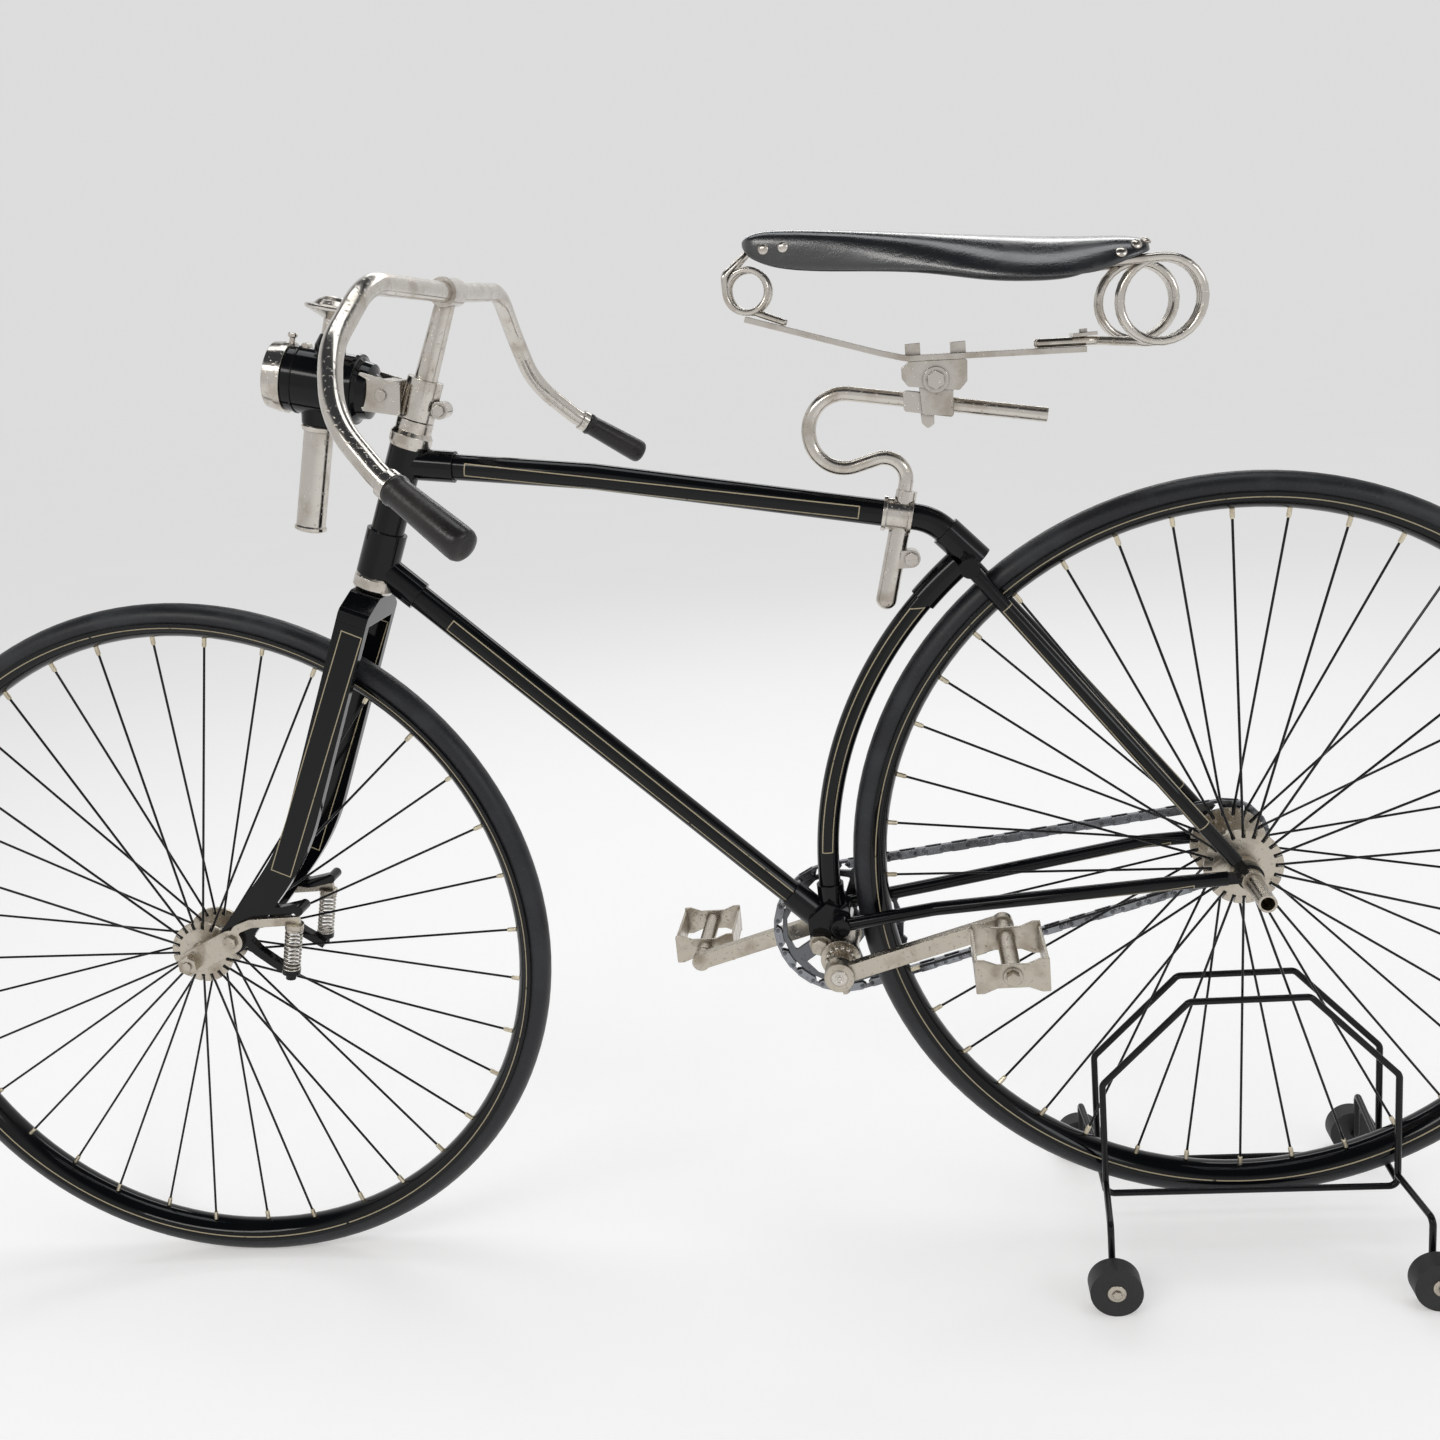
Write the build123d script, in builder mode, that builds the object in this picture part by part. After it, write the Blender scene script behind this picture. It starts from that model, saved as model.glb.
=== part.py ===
# An antique safety bicycle with a chain drive, held in a wire display stand.
# Millimetres. X runs rearwards, Y to the chain side and Z up.
# The origin is on the floor, midway between the two wheel hubs.
import os
from math import asin, atan2, cos, hypot, pi, radians, sin, sqrt
from build123d import *

os.makedirs("parts", exist_ok=True)

# Wheels
WHEEL_R = 355.6
WHEELBASE = 1019.0
REAR_LIFT = 36.7
TYRE_R = 14.5
RIM_GAP = 0.3
RIM_WALL = 3.0
RIM_EDGE_DROP = 2.6
SPOKE_R = 1.3
SPOKE_SIDES = 6
FLANGE_T = 3.0
SLOT_W = 3.5
SLOT_DEPTH = 7.5
FRONT_SPOKES, FRONT_FLANGE_R, FRONT_FLANGE_Y = 18, 32.0, 19.5
REAR_SPOKES, REAR_FLANGE_R, REAR_FLANGE_Y = 20, 35.5, 31.5
RIM_SPOKE_Y = 3.0
FRONT_AXLE_R, REAR_AXLE_R = 4.5, 5.0
FRONT_HUB_END, REAR_HUB_END = 30.0, 53.0

# Clearances
RUNNING = 0.05
SEAT = 0.1
SPOKE_SEAT = 0.15
SOFT_GAP = 0.3
TURNING_GAP = 1.0

# Head and steering
HEAD_RAKE = radians(23.5)
HEAD_REACH, HEAD_ANGLE = 71.3, radians(56.84)
STEERER_R = 11.0
RING_R = 19.5
RING_LOW, HEAD_LOW, HEAD_TOP, CUP_TOP = -6.5, 9.0, 134.0, 160.0
CROWN_TOP, CROWN_LOW = -7.5, -33.0
CLAMP_LOW, CLAMP_TOP = 161.0, 198.0
STEERER_TOP = 180.0
BAR_U = 278.0

# Frame tubes
HEAD_TUBE_R = 15.5
TOP_TUBE_R = 12.0
DOWN_TUBE_R = 12.0
SEAT_TUBE_R = 10.5
SEAT_TUBE_GAP = 13.4
STAY_R = 6.5
CROSSBAR_R = 9.0
STAY_Y = 29.0
REAR_END_Y = 57.0
REAR_END_T = 6.0
REAR_END_R = 12.0

# Drive
CRANK_ANGLE = radians(190.673)
JUNCTION_ANGLE = radians(128.03)
CRANK_LENGTH = 158.0
CRANK_LIFT = radians(15.8)
CRANK_Y = 72.0
CHAIN_Y = 42.0
NOMINAL_PITCH = 25.8
FRONT_TEETH = 16
REAR_TEETH = 9
BLOCK_SHARE = 0.4
LINK_HALF = 4.0
BLOCK_HALF_W = 2.5
PLATE_T = 1.5
TOOTH_HALF_W = 2.0
TOOTH_ROOT_HALF, TOOTH_TIP_HALF = 5.2, 2.2
TIP_DROP = 0.3
ROOT_DROP = 4.8
BLOCK_LIFT = 1.2
NEAR_TEETH = 9.5

LOW = (Align.CENTER, Align.CENTER, Align.MIN)


def polar(centre, radius, angle):
    """Return the side-view point at an angle around a centre."""
    return (centre[0] + radius * cos(angle), centre[1] + radius * sin(angle))


def near(anchor, *offsets):
    """Return side-view points given as offsets (x, z) from an anchor."""
    return [(anchor[0] + x, anchor[1] + z) for x, z in offsets]


# Places that the rest hangs on: both hubs, the head's foot, the crank and the rear junction
SEAT_ARC_R = WHEEL_R + SEAT_TUBE_GAP + SEAT_TUBE_R
FRONT_HUB = (-WHEELBASE / 2, WHEEL_R)
REAR_HUB = (WHEELBASE / 2, WHEEL_R + REAR_LIFT)
HEAD_FOOT = polar(FRONT_HUB, WHEEL_R + HEAD_REACH, HEAD_ANGLE)
CRANK = polar(REAR_HUB, SEAT_ARC_R, CRANK_ANGLE)
JUNCTION = polar(REAR_HUB, SEAT_ARC_R, JUNCTION_ANGLE)
TYRE_CENTRE_R = WHEEL_R - TYRE_R
RIM_BORE_R = TYRE_R + RIM_GAP
RIM_OUT_R = RIM_BORE_R + RIM_WALL
RIM_EDGE_R = TYRE_CENTRE_R - RIM_EDGE_DROP
UP = Vector(sin(HEAD_RAKE), 0, cos(HEAD_RAKE))
BACK = Vector(cos(HEAD_RAKE), 0, -sin(HEAD_RAKE))
HEAD = Plane(origin=(HEAD_FOOT[0], 0, HEAD_FOOT[1]), x_dir=BACK, z_dir=UP)


def head_point(up, back=0, y=0):
    """Return the point so far up the head axis and so far behind it."""
    return HEAD.from_local_coords(Vector(back, y, up))


def side(point, y=0):
    """Return a side-view point (x, z) at a station of y."""
    return (point[0], y, point[1])


def span(flank, inner, outer):
    """Return the low and high station of y between two distances on one side."""
    return sorted((flank * inner, flank * outer))


def barrel(plane, length, radius, tip=None, mode=Mode.ADD):
    """Stand a cylinder, or a cone with its own tip radius, on a plane."""
    with Locations(plane):
        if tip is None:
            Cylinder(radius, length, align=LOW, mode=mode)
        else:
            Cone(radius, tip, length, align=LOW, mode=mode)


def rod(start, end, radius, tip=None, mode=Mode.ADD):
    """Run a round rod, or a tapered one, from one point to another."""
    way = Vector(*end) - Vector(*start)
    barrel(Plane(origin=start, z_dir=way), way.length, radius, tip, mode)


def cross_pin(centre, y_low, y_high, radius, mode=Mode.ADD):
    """Run a pin along Y through a side-view point."""
    rod(side(centre, y_low), side(centre, y_high), radius, mode=mode)


def hex_pin(centre, y_low, y_high, radius):
    """Run a six-sided nut along Y through a side-view point."""
    with BuildSketch(Plane(origin=side(centre, y_low), z_dir=(0, 1, 0))) as face:
        RegularPolygon(radius, 6)
    extrude(face.sketch, amount=y_high - y_low, dir=(0, 1, 0))


def facing(y):
    """Return the plane of the side view at a station of y, seen from the left."""
    return Plane(origin=(0, y, 0), x_dir=(1, 0, 0), z_dir=(0, -1, 0))


def plate(outline, y_low, y_high, corner=0, mode=Mode.ADD):
    """Cut a flat plate from a side-view outline between two stations of y."""
    with BuildSketch(facing(y_high)) as face:
        Polygon(*outline, align=None)
        if corner:
            fillet(face.vertices(), corner)
    extrude(face.sketch, amount=y_high - y_low, dir=(0, -1, 0), mode=mode)


def bent_plate(points, bend, width, y_low, y_high):
    """Cut a plate of even width along a bent side-view line."""
    with BuildSketch(facing(y_high)) as face:
        with BuildLine():
            FilletPolyline(*points, radius=bend)
        trace(line_width=width)
    extrude(face.sketch, amount=y_high - y_low, dir=(0, -1, 0))


def bent_rod(points, bend, radius, sides=0, close=False, mode=Mode.ADD):
    """Sweep a round section, or one with so many sides, along straight runs joined by arcs."""
    with BuildLine() as run:
        FilletPolyline(*points, radius=bend, close=close)
    with BuildSketch(Plane(origin=run.line @ 0, z_dir=run.line % 0)) as section:
        if sides:
            RegularPolygon(radius, sides)
        else:
            Circle(radius)
    sweep(section.sketch, path=run.line, mode=mode)


def bent_strip(points, bend, width, thickness):
    """Sweep a flat section, wide along Y, along a bent side-view line."""
    with BuildLine() as run:
        FilletPolyline(*[side(point) for point in points], radius=bend)
    with BuildSketch(Plane(origin=run.line @ 0, x_dir=(0, 1, 0), z_dir=run.line % 0)) as section:
        Rectangle(width, thickness)
    sweep(section.sketch, path=run.line)


def turned(hub, profile, bore):
    """Turn (y, radius) stations about a wheel's axle, bored right through."""
    first, last = profile[0][0], profile[-1][0]
    with BuildSketch(Plane(side(hub))) as section:
        Polygon((bore, first), *[(radius, y) for y, radius in profile], (bore, last), align=None)
    revolve(section.sketch, axis=Axis(side(hub), (0, 1, 0)))


def ring_of_tyre(hub):
    """Turn the round tyre of a wheel."""
    with BuildSketch(Plane(side(hub))) as section:
        with Locations((TYRE_CENTRE_R, 0)):
            Circle(TYRE_R)
    revolve(section.sketch, axis=Axis(side(hub), (0, 1, 0)))


def crescent_rim(hub):
    """Turn the hollow crescent rim that holds the tyre."""
    with BuildSketch(Plane(side(hub))) as section:
        with Locations((TYRE_CENTRE_R, 0)):
            Circle(RIM_OUT_R)
            Circle(RIM_BORE_R, mode=Mode.SUBTRACT)
        with Locations((RIM_EDGE_R, 0)):
            Rectangle(RIM_OUT_R * 2, RIM_OUT_R * 3, align=(Align.MIN, Align.CENTER), mode=Mode.SUBTRACT)
    revolve(section.sketch, axis=Axis(side(hub), (0, 1, 0)))


def spoke_angles(count):
    """Yield the side (-1 or 1) and angle of each spoke, the two flanges half a step apart."""
    for flank, turn in ((-1, 0.0), (1, 0.5)):
        for index in range(count):
            yield flank, 2 * pi * (index + turn) / count


def spokes(hub, count, flange_r, flange_y, rim_y):
    """Run straight radial spokes from the flange slots to the rim."""
    foot_r = flange_r - SLOT_DEPTH + SPOKE_SEAT
    rim_r = TYRE_CENTRE_R - sqrt(RIM_OUT_R ** 2 - rim_y ** 2) - SPOKE_SEAT
    planes = []
    for flank, angle in spoke_angles(count):
        out = Vector(cos(angle), 0, sin(angle))
        foot = Vector(hub[0], flank * flange_y, hub[1]) + out * foot_r
        tip = Vector(hub[0], flank * rim_y, hub[1]) + out * rim_r
        planes.append(Plane(origin=foot, z_dir=tip - foot))
    with BuildSketch(*planes) as ends:
        RegularPolygon(SPOKE_R, SPOKE_SIDES)
    extrude(ends.sketch, amount=hypot(rim_r - foot_r, flange_y - rim_y))


def cut_slots(hub, count, flange_r, flange_y):
    """Cut the open spoke slots in the edges of both flanges."""
    planes = []
    for flank, angle in spoke_angles(count):
        out = Vector(cos(angle), 0, sin(angle))
        foot = Vector(hub[0], flank * flange_y, hub[1]) + out * (flange_r - SLOT_DEPTH)
        planes.append(Plane(origin=foot, x_dir=(0, 1, 0), z_dir=out))
    with Locations(*planes):
        Box(FLANGE_T * 2, SLOT_W, SLOT_DEPTH * 2, align=LOW, mode=Mode.SUBTRACT)


# The front wheel
with BuildPart() as front_tyre:
    ring_of_tyre(FRONT_HUB)
front_tyre.part.label = "front_tyre"
export_step(front_tyre.part, "parts/front_tyre.step")

with BuildPart() as front_rim:
    crescent_rim(FRONT_HUB)
front_rim.part.label = "front_rim"
export_step(front_rim.part, "parts/front_rim.step")

with BuildPart() as front_spokes:
    spokes(FRONT_HUB, FRONT_SPOKES, FRONT_FLANGE_R, FRONT_FLANGE_Y, RIM_SPOKE_Y)
front_spokes.part.label = "front_spokes"
export_step(front_spokes.part, "parts/front_spokes.step")

with BuildPart() as front_hub:
    half = [
        (12.0, 9.5),
        (FRONT_FLANGE_Y - FLANGE_T / 2, 13.0),
        (FRONT_FLANGE_Y - FLANGE_T / 2, FRONT_FLANGE_R),
        (FRONT_FLANGE_Y + FLANGE_T / 2, FRONT_FLANGE_R),
        (FRONT_FLANGE_Y + FLANGE_T / 2, 11.0),
        (FRONT_HUB_END, 9.0),
    ]
    turned(FRONT_HUB, [(-y, r) for y, r in reversed(half)] + half, FRONT_AXLE_R + RUNNING)
    cut_slots(FRONT_HUB, FRONT_SPOKES, FRONT_FLANGE_R, FRONT_FLANGE_Y)
front_hub.part.label = "front_hub"
export_step(front_hub.part, "parts/front_hub.step")

# The rear wheel and its small chain wheel
SPROCKET_BORE_R = 12.0
SPROCKET_SEAT_END = CHAIN_Y + 5.0

with BuildPart() as rear_tyre:
    ring_of_tyre(REAR_HUB)
rear_tyre.part.label = "rear_tyre"
export_step(rear_tyre.part, "parts/rear_tyre.step")

with BuildPart() as rear_rim:
    crescent_rim(REAR_HUB)
rear_rim.part.label = "rear_rim"
export_step(rear_rim.part, "parts/rear_rim.step")

with BuildPart() as rear_spokes:
    spokes(REAR_HUB, REAR_SPOKES, REAR_FLANGE_R, REAR_FLANGE_Y, RIM_SPOKE_Y)
rear_spokes.part.label = "rear_spokes"
export_step(rear_spokes.part, "parts/rear_spokes.step")

with BuildPart() as rear_hub:
    half = [
        (24.0, 10.0),
        (REAR_FLANGE_Y - FLANGE_T / 2, 14.0),
        (REAR_FLANGE_Y - FLANGE_T / 2, REAR_FLANGE_R),
        (REAR_FLANGE_Y + FLANGE_T / 2, REAR_FLANGE_R),
        (REAR_FLANGE_Y + FLANGE_T / 2, SPROCKET_BORE_R),
        (SPROCKET_SEAT_END, SPROCKET_BORE_R),
        (SPROCKET_SEAT_END, 10.0),
        (REAR_HUB_END, 10.0),
    ]
    turned(REAR_HUB, [(-y, r) for y, r in reversed(half)] + half, REAR_AXLE_R + RUNNING)
    cut_slots(REAR_HUB, REAR_SPOKES, REAR_FLANGE_R, REAR_FLANGE_Y)
rear_hub.part.label = "rear_hub"
export_step(rear_hub.part, "parts/rear_hub.step")

# The chain's length and pitch follow from the distance between the two chain wheels
SPAN_X, SPAN_Z = REAR_HUB[0] - CRANK[0], REAR_HUB[1] - CRANK[1]
SPAN = hypot(SPAN_X, SPAN_Z)
CHAIN_LINKS = round(2 * SPAN / NOMINAL_PITCH + (FRONT_TEETH + REAR_TEETH) / 2)
PITCH = NOMINAL_PITCH
for _ in range(20):
    FRONT_R, REAR_R = FRONT_TEETH * PITCH / (2 * pi), REAR_TEETH * PITCH / (2 * pi)
    LEAN = asin((FRONT_R - REAR_R) / SPAN)
    RUN = SPAN * cos(LEAN)
    PITCH = (2 * RUN + FRONT_R * (pi + 2 * LEAN) + REAR_R * (pi - 2 * LEAN)) / CHAIN_LINKS

RISE = atan2(SPAN_Z, SPAN_X)
TOP_NORMAL = RISE + pi / 2 - LEAN
LOW_NORMAL = RISE - pi / 2 + LEAN
REAR_WRAP = REAR_R * (pi - 2 * LEAN)
FRONT_PHASE = LOW_NORMAL + (2 * RUN + REAR_WRAP) / FRONT_R
REAR_PHASE = TOP_NORMAL + RUN / REAR_R


def loop_point(distance):
    """Return the side-view point so far along the chain's pitch line."""
    distance = distance % (PITCH * CHAIN_LINKS)
    if distance < RUN:
        return polar(polar(CRANK, FRONT_R, TOP_NORMAL), distance, TOP_NORMAL - pi / 2)
    distance -= RUN
    if distance < REAR_WRAP:
        return polar(REAR_HUB, REAR_R, TOP_NORMAL - distance / REAR_R)
    distance -= REAR_WRAP
    if distance < RUN:
        return polar(polar(REAR_HUB, REAR_R, LOW_NORMAL), distance, LOW_NORMAL - pi / 2)
    distance -= RUN
    return polar(CRANK, FRONT_R, LOW_NORMAL - distance / FRONT_R)


def chain_place(middle, pin_gap):
    """Return the plane of a link: local x along it and local y out of the loop."""
    first, last = loop_point(middle - pin_gap / 2), loop_point(middle + pin_gap / 2)
    centre = ((first[0] + last[0]) / 2, (first[1] + last[1]) / 2)
    along = Vector(last[0] - first[0], 0, last[1] - first[1])
    return Plane(origin=side(centre, CHAIN_Y), x_dir=along, z_dir=(0, -1, 0))


def near_teeth(place):
    """Tell whether a link at this place is within reach of either chain wheel's teeth."""
    for hub, radius in ((CRANK, FRONT_R), (REAR_HUB, REAR_R)):
        if hypot(place.origin.X - hub[0], place.origin.Z - hub[1]) < radius + NEAR_TEETH:
            return True
    return False


def link_outline(pin_gap, low):
    """Return the outline of a link with round-shouldered ends, from its low edge out."""
    reach, end = pin_gap / 2, pin_gap / 2 + LINK_HALF
    waist = max(low, 0)
    return [(-reach, low), (reach, low), (end, waist), (reach, LINK_HALF), (-reach, LINK_HALF), (-end, waist)]


def toothed_disc(centre, teeth, pitch_r, first_angle, bore):
    """Cut a toothed chain wheel that the chain's side plates sit over."""
    points = []
    root, tip = pitch_r - ROOT_DROP, pitch_r - TIP_DROP
    steps = ((root, -TOOTH_ROOT_HALF), (tip, -TOOTH_TIP_HALF), (tip, TOOTH_TIP_HALF), (root, TOOTH_ROOT_HALF))
    for index in range(teeth):
        middle = first_angle + 2 * pi * index / teeth
        points += [polar(centre, radius, middle + offset / pitch_r) for radius, offset in steps]
    plate(points, CHAIN_Y - TOOTH_HALF_W, CHAIN_Y + TOOTH_HALF_W)
    cross_pin(centre, CHAIN_Y - TOOTH_HALF_W, CHAIN_Y + TOOTH_HALF_W, bore, mode=Mode.SUBTRACT)


with BuildPart() as rear_sprocket:
    toothed_disc(REAR_HUB, REAR_TEETH, REAR_R, REAR_PHASE, SPROCKET_BORE_R + RUNNING)
rear_sprocket.part.label = "rear_sprocket"
export_step(rear_sprocket.part, "parts/rear_sprocket.step")

with BuildPart() as chain:
    block_pins, plate_pins = BLOCK_SHARE * PITCH, (1 - BLOCK_SHARE) * PITCH
    free_blocks, lifted_blocks, side_plates = [], [], []
    for index in range(CHAIN_LINKS):
        place = chain_place((index + 0.5) * PITCH, block_pins).offset(-BLOCK_HALF_W)
        (lifted_blocks if near_teeth(place) else free_blocks).append(place)
        place = chain_place(index * PITCH, plate_pins)
        side_plates += [place.offset(BLOCK_HALF_W), place.offset(-BLOCK_HALF_W - PLATE_T)]
    with BuildSketch(*free_blocks) as blocks:
        Polygon(*link_outline(block_pins, -LINK_HALF), align=None)
    extrude(blocks.sketch, amount=BLOCK_HALF_W * 2)
    with BuildSketch(*lifted_blocks) as blocks:
        Polygon(*link_outline(block_pins, BLOCK_LIFT), align=None)
    extrude(blocks.sketch, amount=BLOCK_HALF_W * 2)
    with BuildSketch(*side_plates) as plates:
        Polygon(*link_outline(plate_pins, -LINK_HALF), align=None)
    extrude(plates.sketch, amount=PLATE_T)
chain.part.label = "chain"
export_step(chain.part, "parts/chain.step")

# The head: tube, rings and the two lugs
TOP_HEAD_U, DOWN_HEAD_U = 118.0, 19.0
TOP_LUG_R, LOW_LUG_R = 17.5, 19.0
TOP_LUG_LOW, LOW_LUG_TOP = 108.0, 52.0
SOCKET_WALL = 2.5
SOCKET_LENGTH = 48.0
TUBE_START = 26.0
TOP_START = head_point(TOP_HEAD_U)
DOWN_START = head_point(DOWN_HEAD_U)
TOP_BEND_FRONT = near(HEAD_FOOT, (221.0, 81.0))[0]
TOP_BEND_REAR, TOP_END = near(JUNCTION, (-25.7, 37.3), (7.3, 1.8))
DOWN_END = near(CRANK, (-25.5, 37.0))[0]
TOP_WAY = (Vector(*side(TOP_BEND_FRONT)) - TOP_START).normalized()
DOWN_WAY = (Vector(*side(DOWN_END)) - DOWN_START).normalized()
CUP_WAIST_R = 16.8


def head_turned(profile):
    """Turn (height, radius) stations about the head axis, bored for the steerer."""
    bore = STEERER_R + RUNNING
    outline = [(bore, profile[0][0]), *[(radius, up) for up, radius in profile], (bore, profile[-1][0])]
    with BuildSketch(Plane(origin=HEAD.origin, x_dir=BACK, z_dir=BACK.cross(UP))) as section:
        Polygon(*outline, align=None)
    revolve(section.sketch, axis=Axis(HEAD.origin, UP))


with BuildPart() as head_tube:
    head_turned([(HEAD_LOW, HEAD_TUBE_R), (HEAD_TOP, HEAD_TUBE_R)])
head_tube.part.label = "head_tube"
export_step(head_tube.part, "parts/head_tube.step")

with BuildPart() as headset_rings:
    head_turned([(RING_LOW, RING_R - 2), (RING_LOW + 3, RING_R), (HEAD_LOW - 3, RING_R),
                 (HEAD_LOW, RING_R - 2)])
    head_turned([(HEAD_TOP, RING_R - 2), (HEAD_TOP + 4, RING_R), (HEAD_TOP + 12, RING_R),
                 (HEAD_TOP + 16, CUP_WAIST_R), (CUP_TOP, CUP_WAIST_R)])
headset_rings.part.label = "headset_rings"
export_step(headset_rings.part, "parts/headset_rings.step")

with BuildPart() as head_lugs:
    for low, top, radius in ((HEAD_LOW, LOW_LUG_TOP, LOW_LUG_R), (TOP_LUG_LOW, HEAD_TOP, TOP_LUG_R)):
        barrel(HEAD.offset(low), top - low, radius)
    rod(TOP_START, TOP_START + TOP_WAY * SOCKET_LENGTH, TOP_TUBE_R + SOCKET_WALL)
    rod(DOWN_START, DOWN_START + DOWN_WAY * SOCKET_LENGTH, DOWN_TUBE_R + SOCKET_WALL)
    for start, way, radius in ((TOP_START, TOP_WAY, TOP_TUBE_R), (DOWN_START, DOWN_WAY, DOWN_TUBE_R)):
        mouth = start + way * SOCKET_LENGTH * 2
        rod(start + way * (TUBE_START - SEAT), mouth, radius + SEAT, mode=Mode.SUBTRACT)
    barrel(HEAD.offset(HEAD_LOW), HEAD_TOP - HEAD_LOW, HEAD_TUBE_R + SEAT, mode=Mode.SUBTRACT)
    for low, top in ((CROWN_LOW, HEAD_LOW), (HEAD_TOP, CUP_TOP)):
        barrel(HEAD.offset(low), top - low, RING_R + SEAT, mode=Mode.SUBTRACT)
head_lugs.part.label = "head_lugs"
export_step(head_lugs.part, "parts/head_lugs.step")

# The seat socket goes through the top tube, so both know its axis
TOP_RUN_WAY = (Vector(*side(TOP_BEND_REAR)) - Vector(*side(TOP_BEND_FRONT))).normalized()
SLEEVE_BEFORE_BEND, SLEEVE_HALF = 31.7, 13.3
SLEEVE_MIDDLE = Vector(*side(TOP_BEND_REAR)) - TOP_RUN_WAY * SLEEVE_BEFORE_BEND
SLEEVE = (SLEEVE_MIDDLE.X, SLEEVE_MIDDLE.Z)
SOCKET_TOP, SOCKET_LOW = near(SLEEVE, (10.0, 20.8), (-15.0, -76.2))
SOCKET_WAY = (Vector(*side(SOCKET_TOP)) - Vector(*side(SOCKET_LOW))).normalized()
SOCKET_R = 9.5
PILLAR_R = 6.5
TOP_TUBE_BEND = 50.0


def top_tube_run(radius, mode=Mode.ADD):
    """Run a bar of any radius along the top tube's line, with its bend at the rear."""
    start = TOP_START + TOP_WAY * TUBE_START
    points = [start, side(TOP_BEND_FRONT), side(TOP_BEND_REAR), side(TOP_END)]
    bent_rod(points, TOP_TUBE_BEND, radius, mode=mode)


with BuildPart() as top_tube:
    top_tube_run(TOP_TUBE_R)
    rod(side(SOCKET_LOW), side(SOCKET_TOP), SOCKET_R + SEAT, mode=Mode.SUBTRACT)
top_tube.part.label = "top_tube"
export_step(top_tube.part, "parts/top_tube.step")

with BuildPart() as down_tube:
    rod(DOWN_START + DOWN_WAY * TUBE_START, side(DOWN_END), DOWN_TUBE_R)
down_tube.part.label = "down_tube"
export_step(down_tube.part, "parts/down_tube.step")

# The curved seat tube follows the rear wheel; its places are distances along its arc from the crank
SEAT_TUBE_FOOT = 44.2
SEAT_TUBE_HEAD = (CRANK_ANGLE - JUNCTION_ANGLE) * SEAT_ARC_R - 32.9
BRACKET_BAR = near(CRANK, (2.5, 31.0))[0]
JUNCTION_BAR = near(JUNCTION, (3.3, -4.2))[0]


def seat_arc(low, top, radius, mode=Mode.ADD):
    """Bend a round bar about the rear hub between two distances along the arc."""
    angles = [CRANK_ANGLE - distance / SEAT_ARC_R for distance in (low, (low + top) / 2, top)]
    with BuildLine() as run:
        ThreePointArc(*[side(polar(REAR_HUB, SEAT_ARC_R, angle)) for angle in angles])
    with BuildSketch(Plane(origin=run.line @ 0, z_dir=run.line % 0)) as section:
        Circle(radius)
    sweep(section.sketch, path=run.line, mode=mode)


with BuildPart() as seat_tube:
    seat_arc(SEAT_TUBE_FOOT, SEAT_TUBE_HEAD, SEAT_TUBE_R)
seat_tube.part.label = "seat_tube"
export_step(seat_tube.part, "parts/seat_tube.step")

# The two cross lugs that carry the stays
LUG_HALF = 20.0
CROSSBAR_HALF = STAY_Y + 9.0
SHELL_R = 19.0
PIVOT = near(CRANK, (-19.5, 12.0))[0]
PIVOT_R = 4.0
LUG_OUTLINE = near(CRANK, (-29.5, 34.0), (-28.5, 11.0), (-23.5, 4.0), (-14.5, 4.0), (-9.5, 12.0),
                   (13.5, 23.0),
                   (11.5, 40.0), (-10.5, 50.0))
LUG_SLEEVE_FOOT, LUG_SLEEVE_LENGTH = 14.0, 42.0
ARC_SLEEVE_FOOT, ARC_SLEEVE_LENGTH = 13.0, 33.0
JUNCTION_SLEEVE_FOOT, JUNCTION_SLEEVE_HEAD = 20.0, 26.0

with BuildPart() as bracket_lug:
    cross_pin(BRACKET_BAR, -CROSSBAR_HALF, CROSSBAR_HALF, CROSSBAR_R)
    plate(LUG_OUTLINE, -LUG_HALF, LUG_HALF, 3)
    arc_foot = SEAT_TUBE_FOOT - ARC_SLEEVE_FOOT
    seat_arc(arc_foot, arc_foot + ARC_SLEEVE_LENGTH, SEAT_TUBE_R + SOCKET_WALL)
    lug_foot = Vector(*side(DOWN_END)) + DOWN_WAY * LUG_SLEEVE_FOOT
    rod(lug_foot, lug_foot - DOWN_WAY * LUG_SLEEVE_LENGTH, DOWN_TUBE_R + SOCKET_WALL)
    rod(side(DOWN_END), DOWN_START, DOWN_TUBE_R + SEAT, mode=Mode.SUBTRACT)
    seat_arc(SEAT_TUBE_FOOT, SEAT_TUBE_HEAD, SEAT_TUBE_R + SEAT, mode=Mode.SUBTRACT)
    cross_pin(CRANK, -CROSSBAR_HALF, CROSSBAR_HALF, SHELL_R + SEAT, mode=Mode.SUBTRACT)
    cross_pin(PIVOT, -CROSSBAR_HALF, CROSSBAR_HALF, PIVOT_R + SEAT, mode=Mode.SUBTRACT)
bracket_lug.part.label = "bracket_lug"
export_step(bracket_lug.part, "parts/bracket_lug.step")

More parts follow.
